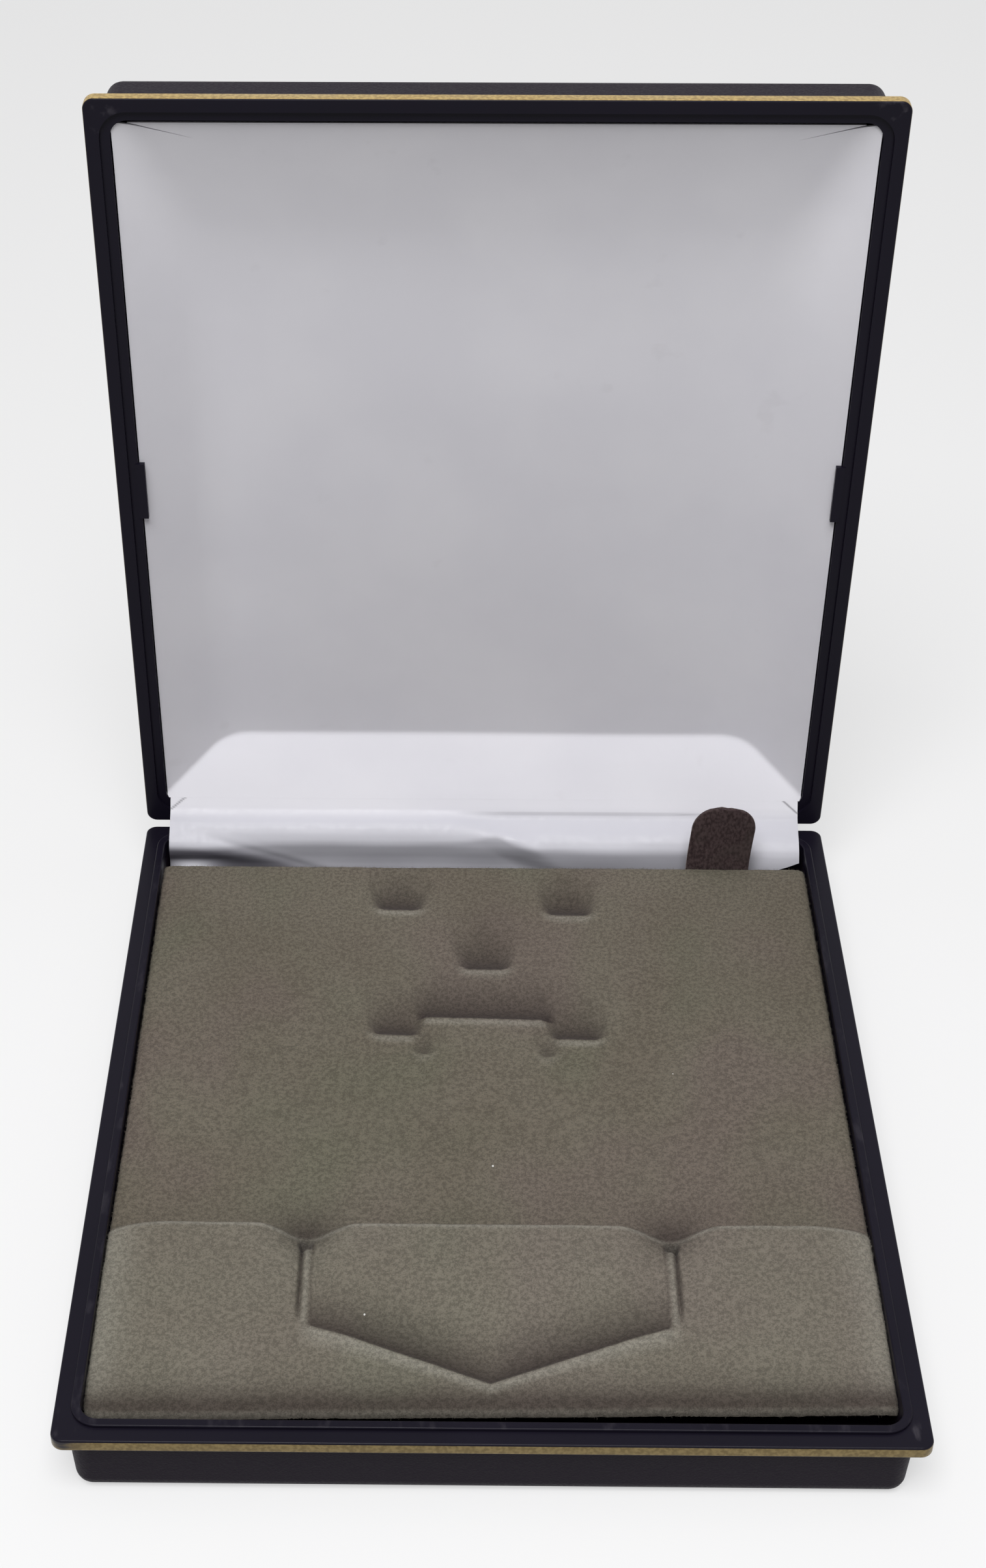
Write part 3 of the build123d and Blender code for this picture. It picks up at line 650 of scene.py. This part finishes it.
def pocket_line(x):
    """Front edge of the pocket, a wide V."""
    return pocket_point + (pocket_shoulder - pocket_point) * np.minimum(np.abs(x) / pocket_half, 1)


def roll_dip(x):
    """How far the roll dips beside the pocket, 1 at its deepest."""
    distance = np.clip(np.abs(np.abs(x) - dip_place) / dip_half_width, 0, 1)
    return (1 - distance ** 1.6) ** 1.8


def roll_end(x):
    """How far the roll has sunk towards each side of the tray, like a pillow."""
    return np.clip((np.abs(x) - 53.0) / 10.4, 0, 1) ** 2


def crest_line(x):
    """Top of the roll, drawn forward at the dips and at both ends."""
    bowed = roll_crest - dip_back * roll_dip(x) + 0.4 * (x / tray_half_width) ** 2
    return bowed - 1.5 * roll_end(x)


def behind_lip(x, y, middle, front, half):
    """Distance behind a dish's front edge, which curves back at both ends."""
    turned_back = np.clip((np.abs(x - middle) - half + 1.8) / 2.6, 0, 1.5)
    return y - front - dish_skew * x - 1.1 * turned_back ** 2


def dish_form(x, y, middle, front, half, depth, deepest, length):
    """One dish at a place: its depth, and the share of a raised lip in front of it."""
    behind = behind_lip(x, y, middle, front, half)
    from_middle = np.abs(x - middle)
    share = np.clip(behind / length, 0, 1)
    wide = half * (1 + 0.2 * share)
    soft = 1.2 + 4.0 * share
    side = 1 - eased_step(from_middle, wide - soft, wide + soft)
    wall = 1 - (1 - np.clip(behind / deepest, 0, 1)) ** 1.8
    rise = 1 - eased_step(behind, deepest * 0.6, length)
    lip = bell(behind + 0.9, 0.8) * (1 - eased_step(from_middle, half - 1.5, half + 2.2))
    return wall * rise * side * depth, lip * min(1, depth / 1.5)


def pocket_depth(x, y):
    """How far the pocket's floor lies below the roll, least at its top."""
    aside = np.abs(x)
    away = (y - pocket_line(x)) * 0.93
    wall = 1 - (1 - np.clip(away / 8.5, 0, 1)) ** 1.9
    wall = wall * (1 - eased_step(aside, pocket_half - 0.5, pocket_half + 0.25))
    return wall * 3.0 * np.clip((pocket_top + 1.5 - y) / 20.0, 0, 1.1)


def inside_pocket(x, y):
    """1 on the pocket's floor, 0 outside it."""
    side = 1 - eased_step(np.abs(x), pocket_half - 0.5, pocket_half + 0.3)
    return side * eased_step(y - pocket_line(x), -0.2, 0.3)


def beside_pocket(y):
    """1 along the pocket's sides, 0 in front of and behind them."""
    started = eased_step(y, pocket_shoulder - 1.0, pocket_shoulder + 1.5)
    return started * (1 - eased_step(y, slit_start - 1, slit_start))


def roll_form(x, y):
    """The roll's slope to the front, its short back, and the level field behind it."""
    crest, front = crest_line(x), tray_front_line(x)
    dip = roll_dip(x)
    rise = (roll_rise + (dip_rise - roll_rise) * dip) * (1 - 0.45 * roll_end(x))
    high = tray_level + rise
    nose = tray_level - 0.3
    share = np.clip((y - crest) / (front + 2.2 - crest), 0, 1.05)
    slope = high + (nose - high) * share + 0.5 * share * (1 - share)
    slope = slope - 0.3 * eased_step(y, crest - 1.8, crest + 0.6) ** 2
    behind = high - (y - crest) * rise / roll_back
    back_share = np.clip((y - crest - roll_back) / (tray_rear - crest - roll_back), 0, 1)
    level = tray_level + 0.8 * back_share * (1 - back_share) + 0.5 * back_share ** 2
    roll = eased_low(slope, behind, 0.5)
    height = np.where(y < crest, roll, eased_high(roll, level, 0.35))
    off_slit = np.abs(x) - drawn_place
    drawn = np.exp(-((off_slit / 4.2) ** 2) - ((y - crest - 0.5) / 3.4) ** 2)
    height = height - 0.75 * drawn
    # Painted shade where the flock is drawn into the dips, just behind the crest and towards the rear, and a
    # painted highlight along the crest
    dip_shade = np.exp(-((off_slit / 5.6) ** 2) - ((y - crest - 2.2) / 5.2) ** 2)
    painted_shade = 0.45 * drawn + 0.4 * dip_shade
    painted_shade = painted_shade + 0.13 * eased_step(y, crest, crest + 0.8) * bell(y - crest, 7)
    painted_shade = painted_shade + 0.12 * np.clip(back_share, 0, 1) ** 2
    wear_and_highlight = bell(y - crest + 0.1, 0.58) * (1 - 0.55 * dip) * (1 - 0.5 * roll_end(x))
    return height, painted_shade, wear_and_highlight


def with_pocket(x, y, height, painted_shade, wear_and_highlight):
    """The pocket's sloping floor with painted shade towards its V, and the raised lip along the V with a
    painted highlight.
    """
    aside = np.abs(x)
    height = height - pocket_depth(x, y)
    away = y - pocket_line(x)
    low_share = 1 - 0.22 * np.minimum(aside / pocket_half, 1) ** 3
    reach = np.clip(away, 0, 50)
    shade = 0.5 * np.exp(-reach / 2.6) + 0.7 * low_share * bell(reach, 9.6 * low_share, 3)
    painted_shade = painted_shade + inside_pocket(x, y) * shade
    lip = bell(away + 0.9, 0.85) * (1 - eased_step(aside, pocket_half - 1, pocket_half + 2.5))
    return height + 0.12 * lip, painted_shade, wear_and_highlight + 0.8 * lip


def with_slits(x, y, height, painted_shade, wear_and_highlight):
    """Beside the pocket: a low shelf with a ridge, a slit, and a hole at its upper end."""
    aside, beside = np.abs(x), beside_pocket(y)
    shelf = eased_step(aside, pocket_half - 0.3, pocket_half + 0.4) * (1 - eased_step(aside, 30.7, 31.1))
    height = height - shelf * beside * 0.5 * pocket_depth(np.clip(x, -28, 28), y)
    ridge = bell(aside - ridge_place, 0.55) * beside
    height = height + 0.22 * ridge
    # Painted highlight along the ridge
    wear_and_highlight = wear_and_highlight + 0.5 * ridge
    run = eased_step(y, slit_end - 1.5, slit_end + 5)
    run = run * (1 - eased_step(y, slit_start - 0.3, slit_start + 0.5))
    slit = bell(aside - slit_place, 0.34) * run
    seam = bell(aside - seam_place, 0.3) * beside
    hole = bell(aside - hole_place, 0.95, 4) * eased_step(y, slit_start - 2.3, slit_start - 1.6)
    hole = hole * (1 - eased_step(y, slit_start - 0.4, slit_start + 0.3))
    height = height - 0.9 * slit - 0.2 * seam - 2.3 * hole
    # Painted shade in the slit, the seam and the hole
    return height, painted_shade + 0.8 * slit + 0.4 * seam + 1.2 * hole, wear_and_highlight


def with_dishes(x, y, height, painted_shade, wear_and_highlight):
    """The dished slots, with painted shade behind their front edges and painted highlights along them."""
    deepest, dark = 0 * x * y, 0 * x * y
    for dish in dishes:
        middle, front, half, dish_depth, _, length = dish
        depth, lip = dish_form(x, y, *dish)
        deepest = eased_high(deepest, depth, 0.12) if dish is not dishes[0] else depth
        height = height + 0.1 * lip
        wear_and_highlight = wear_and_highlight + 0.8 * lip
        behind = behind_lip(x, y, middle, front, half)
        reach = np.clip(behind, 0, 20)
        spread = 0.25 * reach
        shade = 1 - eased_step(np.abs(x - middle), half - 1.3 - spread, half + 1.5 + spread)
        shade = shade * eased_step(behind, -0.15, 0.3)
        shade = shade * (0.75 * bell(reach, 0.8 * length, 2.4) + 0.5 * np.exp(-reach / 3.2))
        dark = np.maximum(dark, shade * min(1, dish_depth / 1.3))
    return height - deepest, painted_shade + dark, wear_and_highlight * (1 - np.clip(deepest / 0.4, 0, 1))


def with_edges(x, y, height, painted_shade, wear_and_highlight):
    """Edges turned down all round, with painted shade under the front's turn and painted highlights along
    the front edge and on the roll.
    """
    crest, front = crest_line(x), tray_front_line(x)
    edges = (
        (x + tray_half_width, 0.75),
        (tray_half_width - x, 0.75),
        (y - front, 0.75),
        (tray_rear - y, 0.45),
    )
    for distance, drop in edges:
        share = np.clip(1 - distance / 2.2, 0, 1)
        height = height - drop * (1 - np.sqrt(1 - share * share))
    turned_down = np.clip(y - front, 0, 40)
    painted_shade = painted_shade + 0.5 * bell(turned_down - 1.2, 2.3)
    painted_shade = painted_shade + 0.42 * bell(turned_down, 7.0, 3) * (1 - inside_pocket(x, y))
    wear_and_highlight = wear_and_highlight + 0.35 * bell(y - front, 0.35)
    on_roll = (1 - eased_step(y, crest - 0.6, crest + 0.4)) * (1 - np.clip(painted_shade, 0, 1))
    wear_and_highlight = wear_and_highlight + 0.25 * on_roll * eased_step(y - front, 0.5, 6)
    wear_and_highlight = wear_and_highlight + 0.5 * on_roll * bell(tray_half_width - np.abs(x), 4.5)
    return height, painted_shade, wear_and_highlight


def tray_surface(x, y):
    """Height of the flocked face, its painted shade, and its painted highlight."""
    form = roll_form(x, y)
    for shaped in (with_pocket, with_slits, with_dishes, with_edges):
        form = shaped(x, y, *form)
    height, painted_shade, wear_and_highlight = form
    height = height + 0.05 * waves(x, y, 8, 9, 40) + 0.02 * waves(x, y, 9, 3, 7)
    return height, np.clip(painted_shade, 0, 1.4), np.clip(wear_and_highlight, 0, 1)


def flare(y):
    """How much wider the tray grows towards its front."""
    return 1 + 0.0068 * np.clip(-y / 60, 0, 1)


def between(rows):
    """Fills in a number of rows after each feature line."""
    filled = []
    for (first, count), (second, _) in zip(rows[:-1], rows[1:]):
        for step in range(count):
            filled.append(first + (second - first) * step / count)
    return np.array(filled + [rows[-1][0]])


tray_x = np.unique(
    np.concatenate(
        [
            lines((-tray_half_width, -61.2, 0.22), (-61.2, -33, 0.85), (-33, -28.4, 0.17), (-28.4, 0, 0.72)),
            lines((0, 28.4, 0.72), (28.4, 33, 0.17), (33, 61.2, 0.85), (61.2, tray_half_width, 0.22)),
        ]
    )
)
level_row = np.ones_like(tray_x)
front_row, pocket_row, crest_row = tray_front_line(tray_x), pocket_line(tray_x), crest_line(tray_x)
# Feature lines that the grid follows, from the front, and how many rows come after each
dish_rows = (
    (10.0, 4), (11.0, 5), (14.8, 8), (17.0, 4), (19.9, 8),
    (21.9, 10), (33.5, 8), (35.6, 15), (50.2, 9), (53.0, 12),
)
feature_rows = [
    (front_row, 1),
    (front_row + 0.3, 5),
    (front_row + 2.2, 4),
    (pocket_row - 1.3, 3),
    (pocket_row - 0.2, 6),
    (pocket_row + 0.8, 3),
    (pocket_row + 2.4, 16),
    (-43 * level_row, 8),
    (crest_row - 3.4, 7),
    (crest_row - 0.8, 10),
    (crest_row + 1.6, 5),
    (crest_row + 4.0, 36),
]
feature_rows += [(place + dish_skew * tray_x, count) for place, count in dish_rows]
feature_rows += [((tray_rear - 2.2) * level_row, 5), ((tray_rear - 0.3) * level_row, 1)]
feature_rows += [(tray_rear * level_row, 0)]
tray_y = between(feature_rows)
tray_grid_x = np.ones(len(tray_y))[:, None] * tray_x[None, :]
tray_z, tray_painted_shade, tray_painted_highlight = tray_surface(tray_grid_x, tray_y)
draw = np.random.default_rng(21)
ragged_x, ragged_y = tray_grid_x * flare(tray_y), tray_y.copy()
ragged_x[:, 0] += draw.uniform(-0.09, 0.06, len(tray_y))
ragged_x[:, -1] += draw.uniform(-0.06, 0.09, len(tray_y))
ragged_y[0] += draw.uniform(-0.1, 0.06, len(tray_x))
ragged_y[-1] += draw.uniform(-0.05, 0.08, len(tray_x))
flock_face = np.dstack([ragged_x, ragged_y, tray_z])
flock_back = np.dstack([ragged_x, ragged_y, tray_z - tray_thickness])


def flock_finish(name):
    """Short grey-brown flock: fine grain, green and pink mottling, painted shade and painted highlights from
    its attributes.
    """
    sheen = {"Sheen_Weight": 0.12, "Sheen_Roughness": 0.35, "Sheen_Tint": (0.8, 0.76, 0.68, 1)}
    material, tree, shader, place = new_finish(name, Specular_IOR_Level=0.1, Roughness=0.95, **sheen)
    pile = grain(tree, place, 4400, 4.0)
    tuft = grain(tree, place, 1500, 5.0)
    patch = grain(tree, place, 48, 1.0)
    tint = grain(tree, place, 30, 1.0, (1.3, 1, 1))
    base = mixed(tree, graded(tree, patch, 0.3, 0.7), (0.139, 0.121, 0.094, 1), (0.152, 0.135, 0.106, 1))
    pink = product(tree, graded(tree, tint, 0.5, 0.72), 0.6)
    base = mixed(tree, pink, base, (0.149, 0.119, 0.104, 1))
    green = product(tree, graded(tree, tint, 0.5, 0.3), 0.5)
    base = mixed(tree, green, base, (0.133, 0.132, 0.094, 1))
    painted_shade = put(tree, "Attribute", attribute_name="painted_shade").outputs["Fac"]
    wear_and_highlight = put(tree, "Attribute", attribute_name="wear_and_highlight").outputs["Fac"]
    # Painted shade where the attribute says
    base = mixed(tree, product(tree, painted_shade, 0.85), base, (0.046, 0.036, 0.033, 1))
    # Painted highlight where the attribute says
    base = mixed(tree, product(tree, wear_and_highlight, 0.75), base, (0.29, 0.275, 0.235, 1))
    light = graded(tree, summed(tree, product(tree, pile, 0.5), product(tree, tuft, 0.5)), 0.34, 0.66)
    speckled = graded(tree, light, 0.0, 1.0, 0.76, 1.26)
    base = put(tree, "VectorMath", {0: base, "Scale": speckled}, operation="SCALE").outputs[0]
    tree.links.new(base, shader.inputs["Base Color"])
    bump(tree, shader, light, 0.00003)
    return material


def fibre_tree(material):
    """Short fibres scattered over a face, thickest where its border attribute is 1."""
    sizes = {"Per Area": "Float", "Length": "Float", "Thickness": "Float", "Seed": "Int"}
    tree, size = growth_tree("flock_fibres", sizes)
    share = grow(tree, "GeometryNodeInputNamedAttribute", {"Name": "border"}, data_type="FLOAT")[0]
    density = grow(tree, "ShaderNodeMath", {0: share, 1: size["Per Area"]}, operation="MULTIPLY")[0]
    scatter = {"Mesh": size["Geometry"], "Density": density, "Seed": size["Seed"]}
    spots = grow(tree, "GeometryNodeDistributePointsOnFaces", scatter)
    strand = {"Radius Top": 0.0, "Radius Bottom": size["Thickness"], "Depth": size["Length"]}
    strand = grow(tree, "GeometryNodeMeshCone", {"Vertices": 4, **strand})[0]
    tilt = {0: (-1.0, -1.0, 0.0), 1: (1.0, 1.0, 6.28), "Seed": size["Seed"]}
    tilt = grow(tree, "FunctionNodeRandomValue", tilt, data_type="FLOAT_VECTOR")[0]
    turned = {"Rotation": spots["Rotation"], "Rotate By": tilt}
    turned = grow(tree, "FunctionNodeRotateRotation", turned, rotation_space="LOCAL")[0]
    length = {2: 0.5, 3: 1.2, "Seed": size["Seed"]}
    length = grow(tree, "FunctionNodeRandomValue", length, data_type="FLOAT")[1]
    strands = {"Points": spots["Points"], "Instance": strand, "Rotation": turned, "Scale": length}
    end_growth(tree, grow(tree, "GeometryNodeInstanceOnPoints", strands)["Instances"], material)
    return tree


tray_flock = flock_finish("tray_flock")
tray_shares = {"painted_shade": tray_painted_shade, "wear_and_highlight": tray_painted_highlight}
flocked_tray = closed_sheet("flocked_tray", flock_face, flock_back, tray_flock, tray_shares)
smoothed(flocked_tray.data, 55)
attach(flocked_tray, "tray")
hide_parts("insert_tray")

# Loose fibres: thick along the cut edges, sparse on the face. They stand on a copy
# of the tray's mesh, which is cleared away afterwards.
border_mesh = flocked_tray.data.copy()
spots = np.empty(len(border_mesh.vertices) * 3)
border_mesh.vertices.foreach_get("co", spots)
spot_x, spot_y, spot_z = (spots.reshape(-1, 3) / MM).T
spot_x = spot_x / flare(spot_y)
from_ends = np.minimum(spot_y - tray_front_line(spot_x), tray_rear - spot_y)
from_edge = np.minimum(tray_half_width - np.abs(spot_x), from_ends)
border = bell(from_edge, 0.3) + 0.35 * bell(spot_y - crest_line(spot_x), 0.4) + 0.006
border_share = border_mesh.attributes.new("border", "FLOAT", "POINT")
border_share.data.foreach_set("value", (border * (spot_z > 12.6)).astype(np.float32))
fibre_sizes = {"Per Area": 1.1e7, "Length": 0.0005, "Thickness": 0.000022, "Seed": 7}
fibre_mesh = grown_mesh(show("fibre_source", border_mesh), fibre_tree(tray_flock), fibre_sizes)
fibres = show("flock_fibres", fibre_mesh)
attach(fibres, "tray")


def lint_finish(name):
    """White cotton fluff."""
    material, tree, shader, place = new_finish(name, Roughness=0.9)
    colour = mixed(tree, grain(tree, place, 5000, 1.0), (0.6, 0.59, 0.56, 1), (0.9, 0.89, 0.86, 1))
    tree.links.new(colour, shader.inputs["Base Color"])
    return material


# Three specks of lint: x, y, size
lint_specks = ((0.9, -17.1, 0.26), (-20.3, -50.4, 0.24), (33.5, 6.2, 0.14))
lint_edit = bmesh.new()
for speck_x, speck_y, speck_size in lint_specks:
    speck_z = tray_surface(np.array([speck_x]), np.array([speck_y]))[0][0] + 0.06
    speck_place = Vector((speck_x, speck_y, speck_z)) * MM
    grown = bmesh.ops.create_icosphere(lint_edit, subdivisions=2, radius=speck_size * MM)["verts"]
    for vert in grown:
        vert.co = Vector((vert.co.x * 0.7, vert.co.y, vert.co.z * 0.35)) + speck_place
lint_mesh = bpy.data.meshes.new("lint")
lint_edit.to_mesh(lint_mesh)
lint_edit.free()
lint_mesh.materials.append(lint_finish("lint"))
lint_mesh.shade_smooth()
lint = show("lint", lint_mesh)
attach(lint, "tray")


# Tab: a strip of dark brown velour, cut with a rounded end. It is glued under the
# tray, comes up behind its rear edge and stands a little askew.
tab_place, tab_half_width, tab_round = 46.3, 6.2, 5.2
tab_thickness, tab_lean = 0.8, 0.9
tab_run = [(56.7, 11.6), (65.0, 11.6), (66.15, 12.6), (66.2, 15.0), (66.35, 21.0), (66.15, 28.9)]
tab_line = smooth_run(tab_run, 60, 2.4)
tab_side = across_run(tab_line)
tab_strides = np.linalg.norm(np.diff(tab_line, axis=0), axis=1)
tab_steps = np.concatenate([[0], np.cumsum(tab_strides)])
tab_length = tab_steps[-1]
from_top = tab_length - tab_steps
turned = np.clip(1 - from_top / tab_round, 0, 1)
half_widths = tab_half_width - tab_round * (1 - np.sqrt(1 - turned * turned)) * 0.97
shares = np.linspace(-1, 1, 31)
lean = tab_lean * eased_step(tab_steps, 10, tab_length)
tab_across = tab_place + lean[:, None] + half_widths[:, None] * shares[None, :]
tab_wave = 0.18 * np.sin(shares * 2.2 + 0.6)[None, :] * eased_step(tab_steps, 13, 24)[:, None]
tab_middle = tab_line[:, None, :] + tab_side[:, None, :] * tab_wave[..., None]
half_thick = tab_thickness / 2 * np.sqrt(1 - 0.55 * np.abs(shares) ** 8)[None, :, None]
tab_front = np.dstack([tab_across, tab_middle + tab_side[:, None, :] * half_thick])
tab_rear = np.dstack([tab_across, tab_middle - tab_side[:, None, :] * half_thick])


def velour_finish(name):
    """Dark brown pile with paler patches of nap and a brown sheen."""
    sheen = {"Sheen_Weight": 0.4, "Sheen_Roughness": 0.35, "Sheen_Tint": (0.6, 0.52, 0.48, 1)}
    material, tree, shader, place = new_finish(name, Specular_IOR_Level=0.1, Roughness=0.95, **sheen)
    pile = grain(tree, place, 1900, 3.0, (1, 1, 0.6))
    nap = grain(tree, place, 180, 2.0)
    colour = mixed(tree, graded(tree, pile, 0.3, 0.7), (0.034, 0.022, 0.023, 1), (0.082, 0.057, 0.058, 1))
    colour = mixed(tree, product(tree, graded(tree, nap, 0.45, 0.7), 0.35), colour, (0.062, 0.05, 0.045, 1))
    tree.links.new(colour, shader.inputs["Base Color"])
    bump(tree, shader, pile, 0.00015)
    return material


velour_tab = closed_sheet("velour_tab", tab_front, tab_rear, velour_finish("tab_velour"))
smoothed(velour_tab.data, 60)
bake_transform(velour_tab)
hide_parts("pull_tab", "tab_anchor")


# Studio: a pale grey floor in a white room, with a large soft light in front and a
# weaker one overhead. The camera stands where the photograph was taken from.
def seen_rays(tree):
    """1 for rays that the camera sees directly, in a gloss or through glass."""
    ray = put(tree, "LightPath").outputs
    direct = summed(tree, ray["Is Camera Ray"], ray["Is Glossy Ray"])
    return summed(tree, direct, ray["Is Transmission Ray"])


def studio_floor():
    """Pale grey floor that glows a little for the camera and adds no light to the case."""
    mesh = bpy.data.meshes.new("floor")
    mesh.from_pydata([(-3, -3, 0), (3, -3, 0), (3, 3, 0), (-3, 3, 0)], [], [(0, 1, 2, 3)])
    white = (1, 1, 1, 1)
    plain = {"Roughness": 0.9, "Specular_IOR_Level": 0.1, "Emission_Color": white}
    material, tree, shader, place = new_finish("floor", **plain)
    cloud = grain(tree, place, 2, 2.0)
    colour = mixed(tree, cloud, (0.38, 0.38, 0.384, 1), (0.41, 0.41, 0.414, 1))
    tree.links.new(colour, shader.inputs["Base Color"])
    tree.links.new(product(tree, seen_rays(tree), 0.56), shader.inputs["Emission Strength"])
    mesh.materials.append(material)
    show("floor", mesh)


def studio_room():
    """Dim even light from all round, seen as a pale wall."""
    world = bpy.data.worlds.new("room")
    world.use_nodes = True
    bpy.context.scene.world = world
    tree = world.node_tree
    strength = graded(tree, seen_rays(tree), 0.0, 1.0, 0.2, 0.92)
    tree.links.new(strength, tree.nodes["Background"].inputs["Strength"])
    tree.nodes["Background"].inputs["Color"].default_value = (1, 1, 1, 1)


def softbox(name, place, aim, width, height, watts):
    """Flat soft light at a place, turned towards a point."""
    lamp = bpy.data.lights.new(name, "AREA")
    lamp.shape, lamp.size, lamp.size_y, lamp.energy = "RECTANGLE", width, height, watts
    light = show(name, lamp)
    light.location = place
    light.rotation_euler = (Vector(aim) - Vector(place)).to_track_quat("-Z", "Y").to_euler()


studio_floor()
studio_room()
softbox("front_softbox", (-0.08, -0.5, 1.03), (0, 0, 0.05), 0.6, 0.48, 10.0)
softbox("overhead_fill", (0.1, -0.05, 1.35), (0, 0, 0.06), 1.0, 0.8, 1.5)

# Lens, shift and place solved from the eight outer corners of the two rims
camera = show("photo_camera", bpy.data.cameras.new("photo_camera"))
camera.data.lens, camera.data.sensor_width = 58.06, 36
camera.data.shift_x, camera.data.shift_y = 0.04508, 0.0056
camera.data.clip_start, camera.data.clip_end = 0.01, 20
camera.matrix_world = Matrix(
    (
        (0.99994, -0.00621, 0.00942, -0.007578),
        (0.01126, 0.59907, -0.80061, -0.328079),
        (-0.00068, 0.80067, 0.59911, 0.327314),
        (0, 0, 0, 1),
    )
)
bpy.context.scene.camera = camera
bpy.context.scene.view_settings.view_transform = "Standard"
